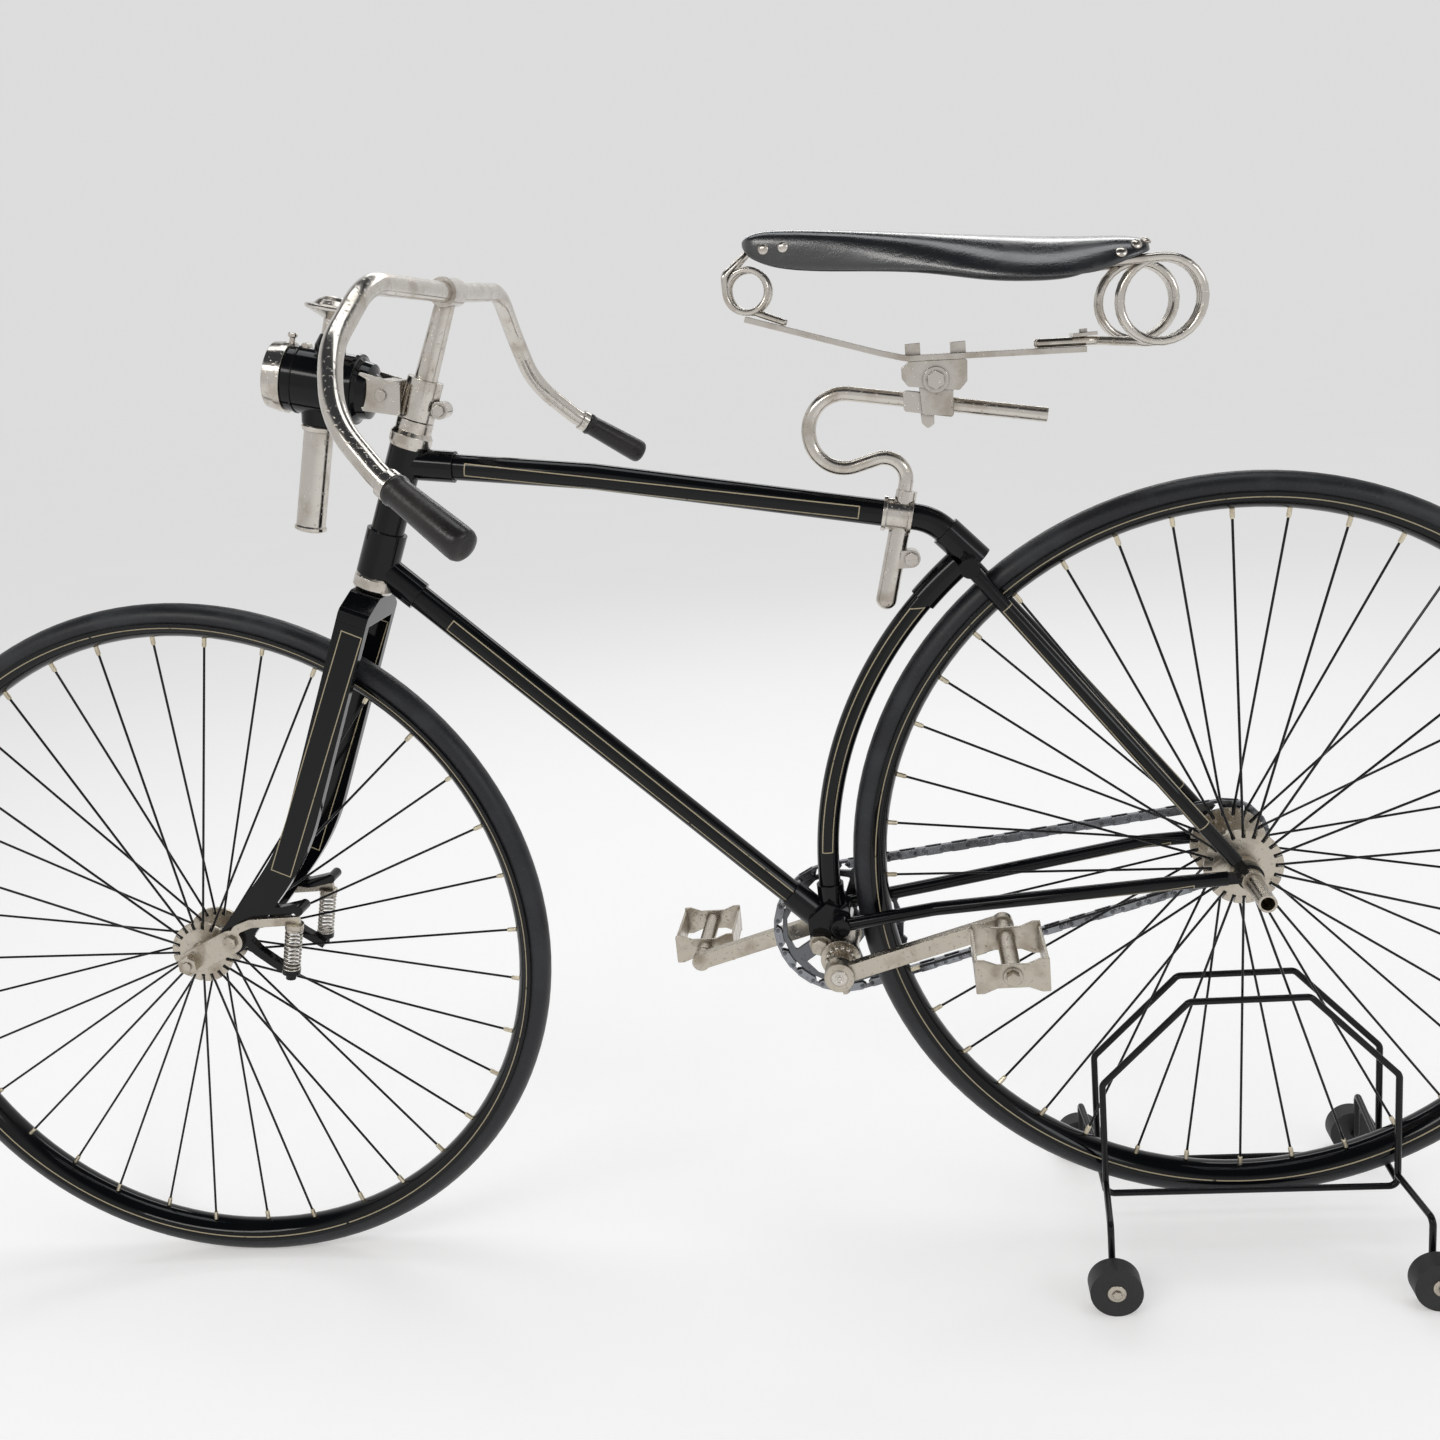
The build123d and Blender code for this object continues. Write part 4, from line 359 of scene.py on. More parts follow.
@dataclass(frozen=True)
class StraightLining(Lining):
    """The lining of a straight tube."""

    start: Pair
    end: Pair
    spread: float = 5.5

    def outside(self, x: Signal, z: Signal) -> Signal:
        """Measure from a long box round the tube's middle.

        Args:
            x: The place's x in millimetres.
            z: Its z.

        Returns:
            How far it lies outside the box, below 0 inside.
        """
        run_x, run_z = self.end[0] - self.start[0], self.end[1] - self.start[1]
        length = math.hypot(run_x, run_z)
        run_x, run_z = run_x / length, run_z / length
        off_x, off_z = x - self.start[0], z - self.start[1]
        along = off_x * run_x + off_z * run_z
        across = abs(off_z * run_x - off_x * run_z)
        return (abs(along - length / 2) - length / 2).larger(across - self.spread)


@dataclass(frozen=True)
class ArcLining(Lining):
    """The lining of a curved tube or a rim, between two heights."""

    centre: Pair
    radius: float
    low: float
    high: float
    spread: float = 4.8

    def outside(self, x: Signal, z: Signal) -> Signal:
        """Measure from a band round the centre.

        Args:
            x: The place's x in millimetres.
            z: Its z.

        Returns:
            How far it lies outside the band, below 0 inside.
        """
        off_x, off_z = x - self.centre[0], z - self.centre[1]
        reach = (off_x * off_x + off_z * off_z) ** 0.5
        middle, span = (self.low + self.high) / 2, (self.high - self.low) / 2
        return (abs(z - middle) - span).larger(abs(reach - self.radius) - self.spread)


class Finish:
    """A look that pieces wear, with its slot in the record for the pieces made here.

    A pattern's scale is its repeats a metre, and depths and radii are in metres.
    """

    name: str
    slot: Slot

    def paint(self, graph: Graph, place: Signal) -> None:
        """Lay out the look on a material's nodes."""
        raise NotImplementedError

    @cache
    def material(self) -> bpy.types.Material:
        """Make the finish's material, once.

        Returns:
            The material.
        """
        graph, material = Graph.of_material(self.name)
        self.paint(graph, graph.place())
        return material

    def dress(self, *nodes: str) -> None:
        """Put the finish on CAD nodes.

        Args:
            nodes: The nodes' names.
        """
        for name in nodes:
            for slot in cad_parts[name].material_slots:
                slot.material = self.material()
            log.info("%s wears %s", name, self.name)


@dataclass(frozen=True)
class Enamel(Finish):
    """Black stoved enamel, polished and lightly dulled, with gold lining where a piece has it."""

    name: str = "black_enamel"
    colour: Colour = (0.0030, 0.0034, 0.0042)
    dust: Colour = (0.020, 0.019, 0.018)
    gold: Colour = (0.47, 0.40, 0.26)
    gloss: float = 0.08
    patches: float = 9.0
    specks: float = 420.0
    wear: float = 160.0
    ripples: float = 60.0
    depth: float = 0.0002
    edge: float = 0.0012
    lining: Lining | None = None
    slot: Slot = Slot.BLACK_ENAMEL

    def paint(self, graph: Graph, place: Signal) -> None:
        """Paint the enamel with its dulled patches and fine specks.

        Args:
            graph: The material's nodes.
            place: The place on the object.
        """
        dull = graph.noise(place, self.patches, 4.0).rise(0.50, 0.80)
        specks = graph.noise(place, self.specks, 3.0).rise(0.70, 0.82)
        colour = graph.mix(dull * 0.25 + specks * 0.25, self.colour, self.dust)
        rough = self.gloss + dull * 0.10 + specks * 0.15
        if self.lining:
            gold = self.lining.mask(graph, place) * graph.noise(place, self.wear).rise(0.20, 0.36)
            colour = graph.mix(gold, colour, self.gold)
            rough = rough + gold * 0.2
        ripples = graph.noise(place, self.ripples)
        graph.set(Base_Color=colour, Roughness=rough, Normal=graph.bump(ripples, self.depth, 0.2, self.edge))
        graph.set(Coat_Weight=0.08, Coat_Roughness=0.03, Specular_IOR_Level=0.22)


@dataclass(frozen=True)
class Plating(Finish):
    """Bright metal with dulled and tarnished patches, and painted shade in its corners."""

    name: str
    colour: Colour = (0.60, 0.565, 0.515)
    tarnish: Colour = (0.24, 0.18, 0.12)
    share: float = 0.45
    gloss: float = 0.12
    dulling: float = 0.22
    pits: float = 0.0003
    # the near-black colour of the painted shade that darkens corners
    corner_shade: Colour = (0.045, 0.036, 0.028)
    edge: float = 0.0009
    stains: float = 38.0
    freckles: float = 310.0
    rubbing: float = 240.0
    # the reach in metres of the ambient occlusion that places the painted shade
    shade_reach: float = 0.007
    slot: Slot = Slot.NICKEL

    def paint(self, graph: Graph, place: Signal) -> None:
        """Paint the metal with its stains, pits and rubbed places, and painted shade darkening its corners.

        Args:
            graph: The material's nodes.
            place: The place on the object.
        """
        stain = graph.noise(place, self.stains, 5.0).rise(0.46, 0.72)
        freckle = graph.noise(place, self.freckles, 4.0).rise(0.60, 0.72)
        worn = stain * self.share + freckle * (self.share * 0.6)
        rubbed = graph.noise(graph.stretched(place, (1.0, 0.25, 1.0)), self.rubbing, 3.0)
        # painted shade: ambient occlusion darkens corners and crevices towards a near-black colour and
        # roughens them
        corners = graph.occlusion(self.shade_reach).rise(0.18, 0.75)
        colour = graph.mix(corners * 0.9, graph.mix(worn, self.colour, self.tarnish), self.corner_shade)
        rough = self.gloss + worn * self.dulling + rubbed * 0.08 + corners * 0.3
        graph.set(Base_Color=colour, Roughness=rough, Metallic=1.0 - freckle * self.share * 0.5)
        graph.set(Normal=graph.bump(freckle * -1.0 + rubbed * 0.3, self.pits, 0.5, self.edge))


@dataclass(frozen=True)
class Rubber(Finish):
    """Old solid rubber with bloom and fine cracks."""

    name: str
    colour: Colour = (0.012, 0.013, 0.015)
    bloom: Colour = (0.050, 0.053, 0.057)
    gloss: float = 0.38
    patches: float = 26.0
    dust: float = 520.0
    cracks: float = 260.0
    depth: float = 0.0003
    slot: Slot = Slot.GRIP

    def paint(self, graph: Graph, place: Signal) -> None:
        """Paint the rubber with grey bloom and a crazed surface.

        Args:
            graph: The material's nodes.
            place: The place on the object.
        """
        bloom = graph.noise(place, self.patches, 4.0).rise(0.42, 0.75)
        dust = graph.noise(place, self.dust, 3.0).rise(0.55, 0.75)
        craze = graph.cells(place, self.cracks)
        graph.set(Base_Color=graph.mix(bloom * 0.45 + dust * 0.35, self.colour, self.bloom))
        graph.set(Roughness=self.gloss + bloom * 0.16 + dust * 0.08, Specular_IOR_Level=0.4)
        graph.set(Normal=graph.bump(craze * 0.6 + dust * 0.4, self.depth, 0.4))


@dataclass(frozen=True)
class Leather(Finish):
    """Polished black hide with grain, creases and rubbed edges."""

    name: str = "saddle_hide"
    colour: Colour = (0.0065, 0.0075, 0.0095)
    rubbed: Colour = (0.040, 0.040, 0.041)
    gloss: float = 0.23
    pores: float = 620.0
    fine_grain: float = 900.0
    creases: float = 70.0
    patches: float = 30.0
    depth: float = 0.0004
    slot: Slot = Slot.SADDLE_LEATHER

    def paint(self, graph: Graph, place: Signal) -> None:
        """Paint the hide with its grain, creases and rubbed patches.

        Args:
            graph: The material's nodes.
            place: The place on the object.
        """
        grain = graph.cells(place, self.pores)
        fine = graph.noise(place, self.fine_grain, 3.0)
        crease = graph.noise(graph.stretched(place, (0.35, 1.0, 1.0)), self.creases, 4.0).rise(0.35, 0.70)
        rubbed = graph.noise(place, self.patches, 5.0).rise(0.50, 0.78)
        graph.set(Base_Color=graph.mix(rubbed * 0.5, self.colour, self.rubbed))
        graph.set(Roughness=self.gloss + rubbed * 0.14 + fine * 0.08, Specular_IOR_Level=0.85)
        graph.set(Normal=graph.bump(grain * 0.5 + crease * 1.2 + fine * 0.2, self.depth, 0.4))
        graph.set(Coat_Weight=0.6, Coat_Roughness=0.16)


@dataclass(frozen=True)
class Glass(Finish):
    """The lamp's clear lens."""

    name: str = "lamp_lens"
    colour: Colour = (0.86, 0.89, 0.87)
    dust: float = 300.0

    def paint(self, graph: Graph, place: Signal) -> None:
        """Paint the lens, slightly dusty.

        Args:
            graph: The material's nodes.
            place: The place on the object.
        """
        dust = graph.noise(place, self.dust, 4.0).rise(0.5, 0.8)
        graph.set(Base_Color=self.colour, Roughness=0.04 + dust * 0.12)
        graph.set(Transmission_Weight=1.0, IOR=1.5)


@dataclass
class Former:
    """Shapes one piece's mesh and hands over the finished object.

    The lip is a share of a wire's radius, and an edge sharper than the crease, in degrees, stays sharp.
    """

    name: str
    mesh: bmesh.types.BMesh = field(default_factory=bmesh.new)
    lip: float = 0.3
    crease: float = 35.0

    def skin(self, rows: Sequence[Sequence[Vector]], looped: bool = False) -> None:
        """Cover closed rows of points with faces and fill both ends.

        Args:
            rows: Rows of equal length, one after another.
            looped: Whether the last row joins the first, with no ends.
        """
        made = [[self.mesh.verts.new(point) for point in row] for row in rows]
        follow = made[1:] + (made[:1] if looped else [])
        for row, after in zip(made, follow):
            count = len(row)
            for index in range(count):
                turn = (index + 1) % count
                self.mesh.faces.new((row[index], row[turn], after[turn], after[index]))
        if not looped:
            self.mesh.faces.new(list(reversed(made[0])))
            self.mesh.faces.new(made[-1])

    def tube(self, path: Sequence[Vector], radius: float, sides: int, looped: bool = False) -> None:
        """Draw a round wire along a path, its ends slightly rounded.

        Args:
            path: The middle of the wire.
            radius: Its radius in millimetres.
            sides: How many sides its section has.
            looped: Whether the wire closes on itself.
        """
        radii = [radius * MM] * len(path)
        if not looped:
            first, last = (path[1] - path[0]).normalized(), (path[-1] - path[-2]).normalized()
            lip = self.lip * radius * MM
            path = [path[0], path[0] + first * lip, *path[1:-1], path[-1] - last * lip, path[-1]]
            radii = [radii[0] - lip, *radii, radii[0] - lip]
        before = [path[-1] if looped else path[0], *path[:-1]]
        after = [*path[1:], path[0] if looped else path[-1]]
        ways = [(there - here).normalized() for here, there in zip(before, after)]
        side = ways[0].orthogonal().normalized()
        rows = []
        for middle, way, reach in zip(path, ways, radii):
            side = (side - way * side.dot(way)).normalized()
            rows.append(self.ring(middle, side, way.cross(side), reach, sides))
        self.skin(rows, looped)

    @staticmethod
    def ring(middle: Vector, side: Vector, other: Vector, reach: float, sides: int) -> list[Vector]:
        """Set points evenly round a circle given by its middle and two directions."""
        angles = [2 * math.pi * step / sides for step in range(sides)]
        return [middle + (side * math.cos(angle) + other * math.sin(angle)) * reach for angle in angles]

    def turn(self, foot: Vector, way: Vector, stations: Stations, sides: int = 32) -> None:
        """Turn (distance, radius) stations, in millimetres, about an axis.

        Args:
            foot: A point on the axis.
            way: The axis.
            stations: Distances along the axis and the radii there.
            sides: How many sides the turning has.
        """
        way = way.normalized()
        side = way.orthogonal().normalized()
        other = way.cross(side)
        self.skin([self.ring(foot + way * along * MM, side, other, radius * MM, sides)
                   for along, radius in stations])

    def deliver(self, finish: Finish, body: Body, replaces: str = "", levels: int = 0) -> None:
        """Finish the piece and set it on its body.

        Args:
            finish: The piece's finish.
            body: The body that it rides on.
            replaces: The CAD node that it stands for.
            levels: Rounds of subdivision.
        """
        bmesh.ops.recalc_face_normals(self.mesh, faces=self.mesh.faces)
        mesh = bpy.data.meshes.new(self.name)
        self.mesh.to_mesh(mesh)
        self.mesh.free()
        made = enter(self.name, mesh)
        mesh.materials.append(finish.material())
        mesh.shade_smooth()
        mesh.set_sharp_from_angle(angle=math.radians(self.crease))
        if levels:
            rounding = made.modifiers.new("rounding", "SUBSURF")
            rounding.levels = rounding.render_levels = levels
        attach(made, body.value)
        if replaces:
            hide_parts(replaces)
        log.info("%s rides on %s with %d faces", self.name, body.value, len(mesh.polygons))


NICKEL = Plating("nickel_plate")
STEEL = Plating("dull_nickel", (0.50, 0.455, 0.385), (0.20, 0.15, 0.10), 0.55, 0.21, 0.25, 0.0005,
                slot=Slot.DULL_NICKEL)
CHAIN_STEEL = Plating("oiled_steel", (0.14, 0.145, 0.155), (0.03, 0.026, 0.023), 0.6, 0.24, 0.25, 0.0005,
                      slot=Slot.OILED_STEEL)
CHAIN_PLATES = Plating("chain_plates", (0.27, 0.28, 0.30), (0.04, 0.035, 0.03), 0.5, 0.22, 0.25, 0.0005)
BRASS = Plating("nipple_brass", (0.66, 0.59, 0.45), (0.26, 0.19, 0.10), 0.45, 0.25, 0.25, 0.0003)
PLAIN_ENAMEL = Enamel()
TYRE = Rubber("tyre_rubber")
GRIP = Rubber("grip_rubber", (0.016, 0.014, 0.013), (0.045, 0.040, 0.036), 0.26)
CASTOR = Rubber("castor_rubber", (0.018, 0.018, 0.018), (0.06, 0.058, 0.055), 0.5)


@dataclass(frozen=True)
class Lamp:
    """One soft lamp with a rectangular face; places and sizes are in metres."""

    name: str
    place: Place
    aim: Place
    size: Pair
    watts: float
    colour: Colour

    def hang(self) -> None:
        """Hang the lamp and face it to its aim."""
        data = bpy.data.lights.new(self.name, "AREA")
        data.shape = "RECTANGLE"
        data.size, data.size_y = self.size
        data.energy = self.watts
        data.color = self.colour
        made = enter(self.name, data)
        made.location = self.place
        made.rotation_euler = (Vector(self.aim) - Vector(self.place)).to_track_quat("-Z", "Y").to_euler()


@dataclass
class Studio:
    """The pale floor, the sky, the soft lamps and the camera, in metres."""

    lamps: tuple[Lamp, ...] = (
        Lamp("key", (-1.6, -2.6, 2.6), (0.0, 0.0, 0.5), (2.2, 0.5), 24.0, (1.0, 0.98, 0.95)),
        Lamp("fill", (2.6, -1.8, 1.8), (0.0, 0.0, 0.5), (1.6, 0.6), 9.0, (0.95, 0.97, 1.0)),
        Lamp("back", (0.2, 2.6, 2.4), (0.0, 0.0, 0.6), (2.6, 0.5), 14.0, (1.0, 1.0, 1.0)),
        Lamp("top", (0.2, 0.35, 2.8), (0.1, 0.0, 0.6), (2.8, 0.8), 16.0, (0.97, 0.99, 1.0)),
    )
    eye: Place = (0.2210, -1.3366, 0.9048)
    right: Place = (0.9891, 0.1084, -0.0994)
    up: Place = (0.0683, 0.2607, 0.9630)
    back: Place = (0.1303, -0.9593, 0.2505)
    lens: float = 36.78
    sensor: float = 36.0
    floor_half: float = 60.0
    floor_tones: tuple[Colour, Colour] = ((0.70, 0.70, 0.70), (0.73, 0.73, 0.73))
    glow: Colour = (0.36, 0.353, 0.34)
    pale: Colour = (0.72, 0.72, 0.72)
    overhead: Colour = (0.05, 0.053, 0.06)
    darkening: Pair = (0.44, 0.74)
    sky_light: Colour = (0.50, 0.51, 0.53)

    def floor(self) -> None:
        """Lay a wide pale floor under the wheels, as light in the distance as the sky behind it."""
        mesh = bpy.data.meshes.new("floor")
        half = self.floor_half
        mesh.from_pydata([(-half, -half, 0), (half, -half, 0), (half, half, 0), (-half, half, 0)], [],
                         [(0, 1, 2, 3)])
        graph, material = Graph.of_material("studio_floor")
        tone = graph.noise(graph.place(), 1.5, 2.0)
        graph.set(Base_Color=graph.mix(tone, *self.floor_tones), Roughness=0.95, Specular_IOR_Level=0.0)
        graph.set(Emission_Color=graph.mix(graph.seen(), (0.0, 0.0, 0.0), self.glow), Emission_Strength=1.0)
        mesh.materials.append(material)
        enter("floor", mesh)

    def sky(self) -> None:
        """Give a soft sky that is seen pale low down and darker overhead, also in polished metal."""
        world = bpy.data.worlds.new("studio")
        bpy.context.scene.world = world
        world.use_nodes = True
        graph = Graph(world.node_tree, "Background")
        way = graph.node("ShaderNodeTexCoord", {}, {}, "Generated")
        backdrop = graph.mix(graph.axes(way)[2].rise(*self.darkening), self.pale, self.overhead)
        graph.set(Color=graph.mix(graph.seen(), self.sky_light, backdrop), Strength=1.0)

    def camera(self) -> None:
        """Set the camera at the photograph's viewing angle."""
        data = bpy.data.cameras.new("camera")
        data.lens = self.lens
        data.sensor_width = self.sensor
        data.clip_start = 0.05
        made = enter("camera", data)
        turn = Matrix((self.right, self.up, self.back)).transposed().to_4x4()
        made.matrix_world = Matrix.Translation(self.eye) @ turn
        bpy.context.scene.camera = made

    def build(self) -> None:
        """Set up the whole studio."""
        bpy.context.scene.view_settings.view_transform = "Standard"
        self.floor()
        self.sky()
        for lamp in self.lamps:
            lamp.hang()
        self.camera()
        log.info("the studio is set")


@dataclass
class Wheel:
    """One spoked wheel with its cushion tyre."""

    end: End
    body: Body
    hub: Pair
    spokes: int
    flange_radius: float
    flange_y: float
    spoke_foot: float = 7.3
    rim_radius: float = 323.3
    rim_y: float = 3.0
    lining_radius: float = 334.0
    lining_span: float = 400.0
    spoke: Stations = ((0.0, 1.9), (1.6, 2.1), (2.6, 1.25))
    nipple: Stations = ((-9.0, 1.5), (-8.2, 2.1), (-6.8, 2.3), (-0.5, 2.3), (0.3, 2.5))

    def wires(self) -> None:
        """Draw every spoke with its head in the hub's slot and its brass nipple in the rim."""
        name = self.end.value
        spokes, nipples = Former(f"{name}_spoke_wires"), Former(f"{name}_nipples")
        centre = at(self.hub[0], 0, self.hub[1])
        for flank, shift in ((Flank.LEFT, 0.0), (Flank.RIGHT, 0.5)):
            for index in range(self.spokes):
                angle = 2 * math.pi * (index + shift) / self.spokes
                out = Vector((math.cos(angle), 0, math.sin(angle)))
                foot = centre + out * (self.flange_radius - self.spoke_foot) * MM
                foot = foot + at(0, flank * self.flange_y, 0)
                tip = centre + out * self.rim_radius * MM + at(0, flank * self.rim_y, 0)
                length = (tip - foot).length / MM
                spokes.turn(foot, tip - foot, (*self.spoke, (length - 0.5, self.spoke[-1][1])), 8)
                nipples.turn(tip, tip - foot, self.nipple, 8)
        spokes.deliver(PLAIN_ENAMEL, self.body, f"{name}_spokes")
        nipples.deliver(BRASS, self.body)

    def build(self) -> None:
        """Dress the wheel's parts and draw its spokes."""
        name, height, span = self.end.value, self.hub[1], self.lining_span
        lining = ArcLining(self.hub, self.lining_radius, height - span, height + span, 0.0)
        TYRE.dress(f"{name}_tyre")
        Enamel(f"{name}_rim_enamel", lining=lining).dress(f"{name}_rim")
        STEEL.dress(f"{name}_hub")
        self.wires()


@dataclass
class FrameTubes:
    """The enamelled frame with its gold lining."""

    linings: Sequence[tuple[str, Lining]] = (
        ("top_tube", StraightLining((-170, 811.3), (185, 741.3))),
        ("down_tube", StraightLining((-205, 668.6), (98, 371.7))),
        ("seat_tube", ArcLining(REAR_HUB, 379.5, 420.0, 650.0)),
        ("seat_stays", StraightLining((310, 650), (470, 444))),
        ("chain_stays", StraightLining((190, 349.6), (460, 385.3), 3.4)),
    )

    def build(self) -> None:
        """Dress the tubes, lugs and fittings."""
        for node, lining in self.linings:
            Enamel(f"{node}_enamel", lining=lining).dress(node)
        PLAIN_ENAMEL.dress("head_tube", "head_lugs", "bracket_lug", "junction_lug")
        NICKEL.dress("headset_rings", "seat_socket", "seat_pillar")
        STEEL.dress("rear_axle", "mounting_step", "crank_bracket")


@dataclass
class Drive:
    """The cranks, pedals, chain and chain wheels."""

    crank: Pair = (136.565, 322.015)
    front_teeth: int = 16
    rear_teeth: int = 9
    links: int = 42
    first_pitch: float = 25.8
    rounds: int = 20
    pin_share: float = 0.6
    chain_y: float = 42.0
    plate_out: float = 3.9
    rivet: Stations = ((0.0, 2.2), (0.5, 2.1), (0.9, 1.2))
    balls: int = 14
    ball_ring: float = 12.5
    ball_y: float = -39.6
    ball: Stations = ((-2.2, 0.4), (-1.9, 1.2), (-1.0, 2.0), (0.0, 2.3), (1.0, 2.0), (1.9, 1.2), (2.2, 0.4))
    stud_y: float = 80.0
    stud: Stations = ((-0.5, 7.6), (0.5, 7.4), (0.9, 6.6), (0.9, 4.2), (0.4, 3.6), (0.4, 2.2), (1.3, 1.6))

    def loop(self) -> list[Pair]:
        """Work out the places of the chain's pins along its loop.

        Returns:
            Each pin's (x, z) place.
        """
        span_x, span_z = REAR_HUB[0] - self.crank[0], REAR_HUB[1] - self.crank[1]
        span = math.hypot(span_x, span_z)
        pitch = self.first_pitch
        for _ in range(self.rounds):
            front, rear = (teeth * pitch / (2 * math.pi) for teeth in (self.front_teeth, self.rear_teeth))
            lean = math.asin((front - rear) / span)
            run = span * math.cos(lean)
            around = front * (math.pi + 2 * lean) + rear * (math.pi - 2 * lean)
            pitch = (2 * run + around) / self.links
        rise = math.atan2(span_z, span_x)
        top, low = rise + math.pi / 2 - lean, rise - math.pi / 2 + lean
        wrap = rear * (math.pi - 2 * lean)
        pins = []
        for index in range(self.links):
            for share in (-self.pin_share / 2, self.pin_share / 2):
                along = ((index + share) * pitch) % (pitch * self.links)
                if along < run:
                    pins.append(self.polar(self.polar(self.crank, front, top), along, top - math.pi / 2))
                elif along < run + wrap:
                    pins.append(self.polar(REAR_HUB, rear, top - (along - run) / rear))
                elif along < 2 * run + wrap:
                    foot = self.polar(REAR_HUB, rear, low)
                    pins.append(self.polar(foot, along - run - wrap, low - math.pi / 2))
                else:
                    pins.append(self.polar(self.crank, front, low - (along - 2 * run - wrap) / front))
        return pins

    @staticmethod
    def polar(centre: Pair, reach: float, angle: float) -> Pair:
        """Return the side-view place at a distance and angle from a centre."""
        return centre[0] + reach * math.cos(angle), centre[1] + reach * math.sin(angle)

    def rivets(self) -> None:
        """Close both ends of every chain pin with a domed head."""
        former = Former("chain_rivets")
        for x, z in self.loop():
            for flank in Flank:
                former.turn(at(x, self.chain_y + flank * self.plate_out, z), ACROSS * flank, self.rivet, 8)
        former.deliver(CHAIN_STEEL, Body.FRAME)

    def bearing(self) -> None:
        """Set the ring of balls that shows behind the left crank."""
        former = Former("crank_balls")
        for index in range(self.balls):
            x, z = self.polar(self.crank, self.ball_ring, 2 * math.pi * index / self.balls)
            former.turn(at(x, self.ball_y, z), ACROSS, self.ball, 10)
        former.deliver(NICKEL, Body.FRAME)

    def studs(self) -> None:
        """Close both ends of the crank axle with a ringed stud."""
        former = Former("crank_studs")
        for flank in Flank:
            former.turn(at(self.crank[0], flank * self.stud_y, self.crank[1]), ACROSS * flank, self.stud)
        former.deliver(NICKEL, Body.CRANK)

    def build(self) -> None:
        """Dress the drive and add its small pieces."""
        CHAIN_PLATES.dress("chain")
        CHAIN_STEEL.dress("chainring", "rear_sprocket")
        STEEL.dress("crank_axle", "crank_arms", "pedal_left", "pedal_right")
        self.rivets()
        self.bearing()
        self.studs()


@dataclass(frozen=True)
class Coil:
    """One coil of the saddle, wound about an axis that runs across it.

    Its middle is given from the clamp bolt, start_y is how far out it starts, and a pitch under 0 winds
    inwards. It starts at its top where from_top is true, or else at its foot.
    """

    middle: Pair
    reach: float
    start_y: float
    pitch: float
    turns: float
    from_top: bool
    wire: float
    sides: int
    steps_a_turn: int = 28

    def wind(self, flank: Flank) -> list[Place]:
        """Wind the coil.

        Args:
            flank: The side that it is on.

        Returns:
            The middle of its wire, from the clamp bolt.
        """
        steps = int(self.turns * self.steps_a_turn)
        reach = self.reach if self.from_top else -self.reach
        places = []
        for step in range(steps + 1):
            turned = self.turns * step / steps
            angle = 2 * math.pi * turned
            x, z = self.middle[0] + reach * math.sin(angle), self.middle[1] + reach * math.cos(angle)
            places.append((x, flank * (self.start_y + self.pitch * turned), z))
        return places


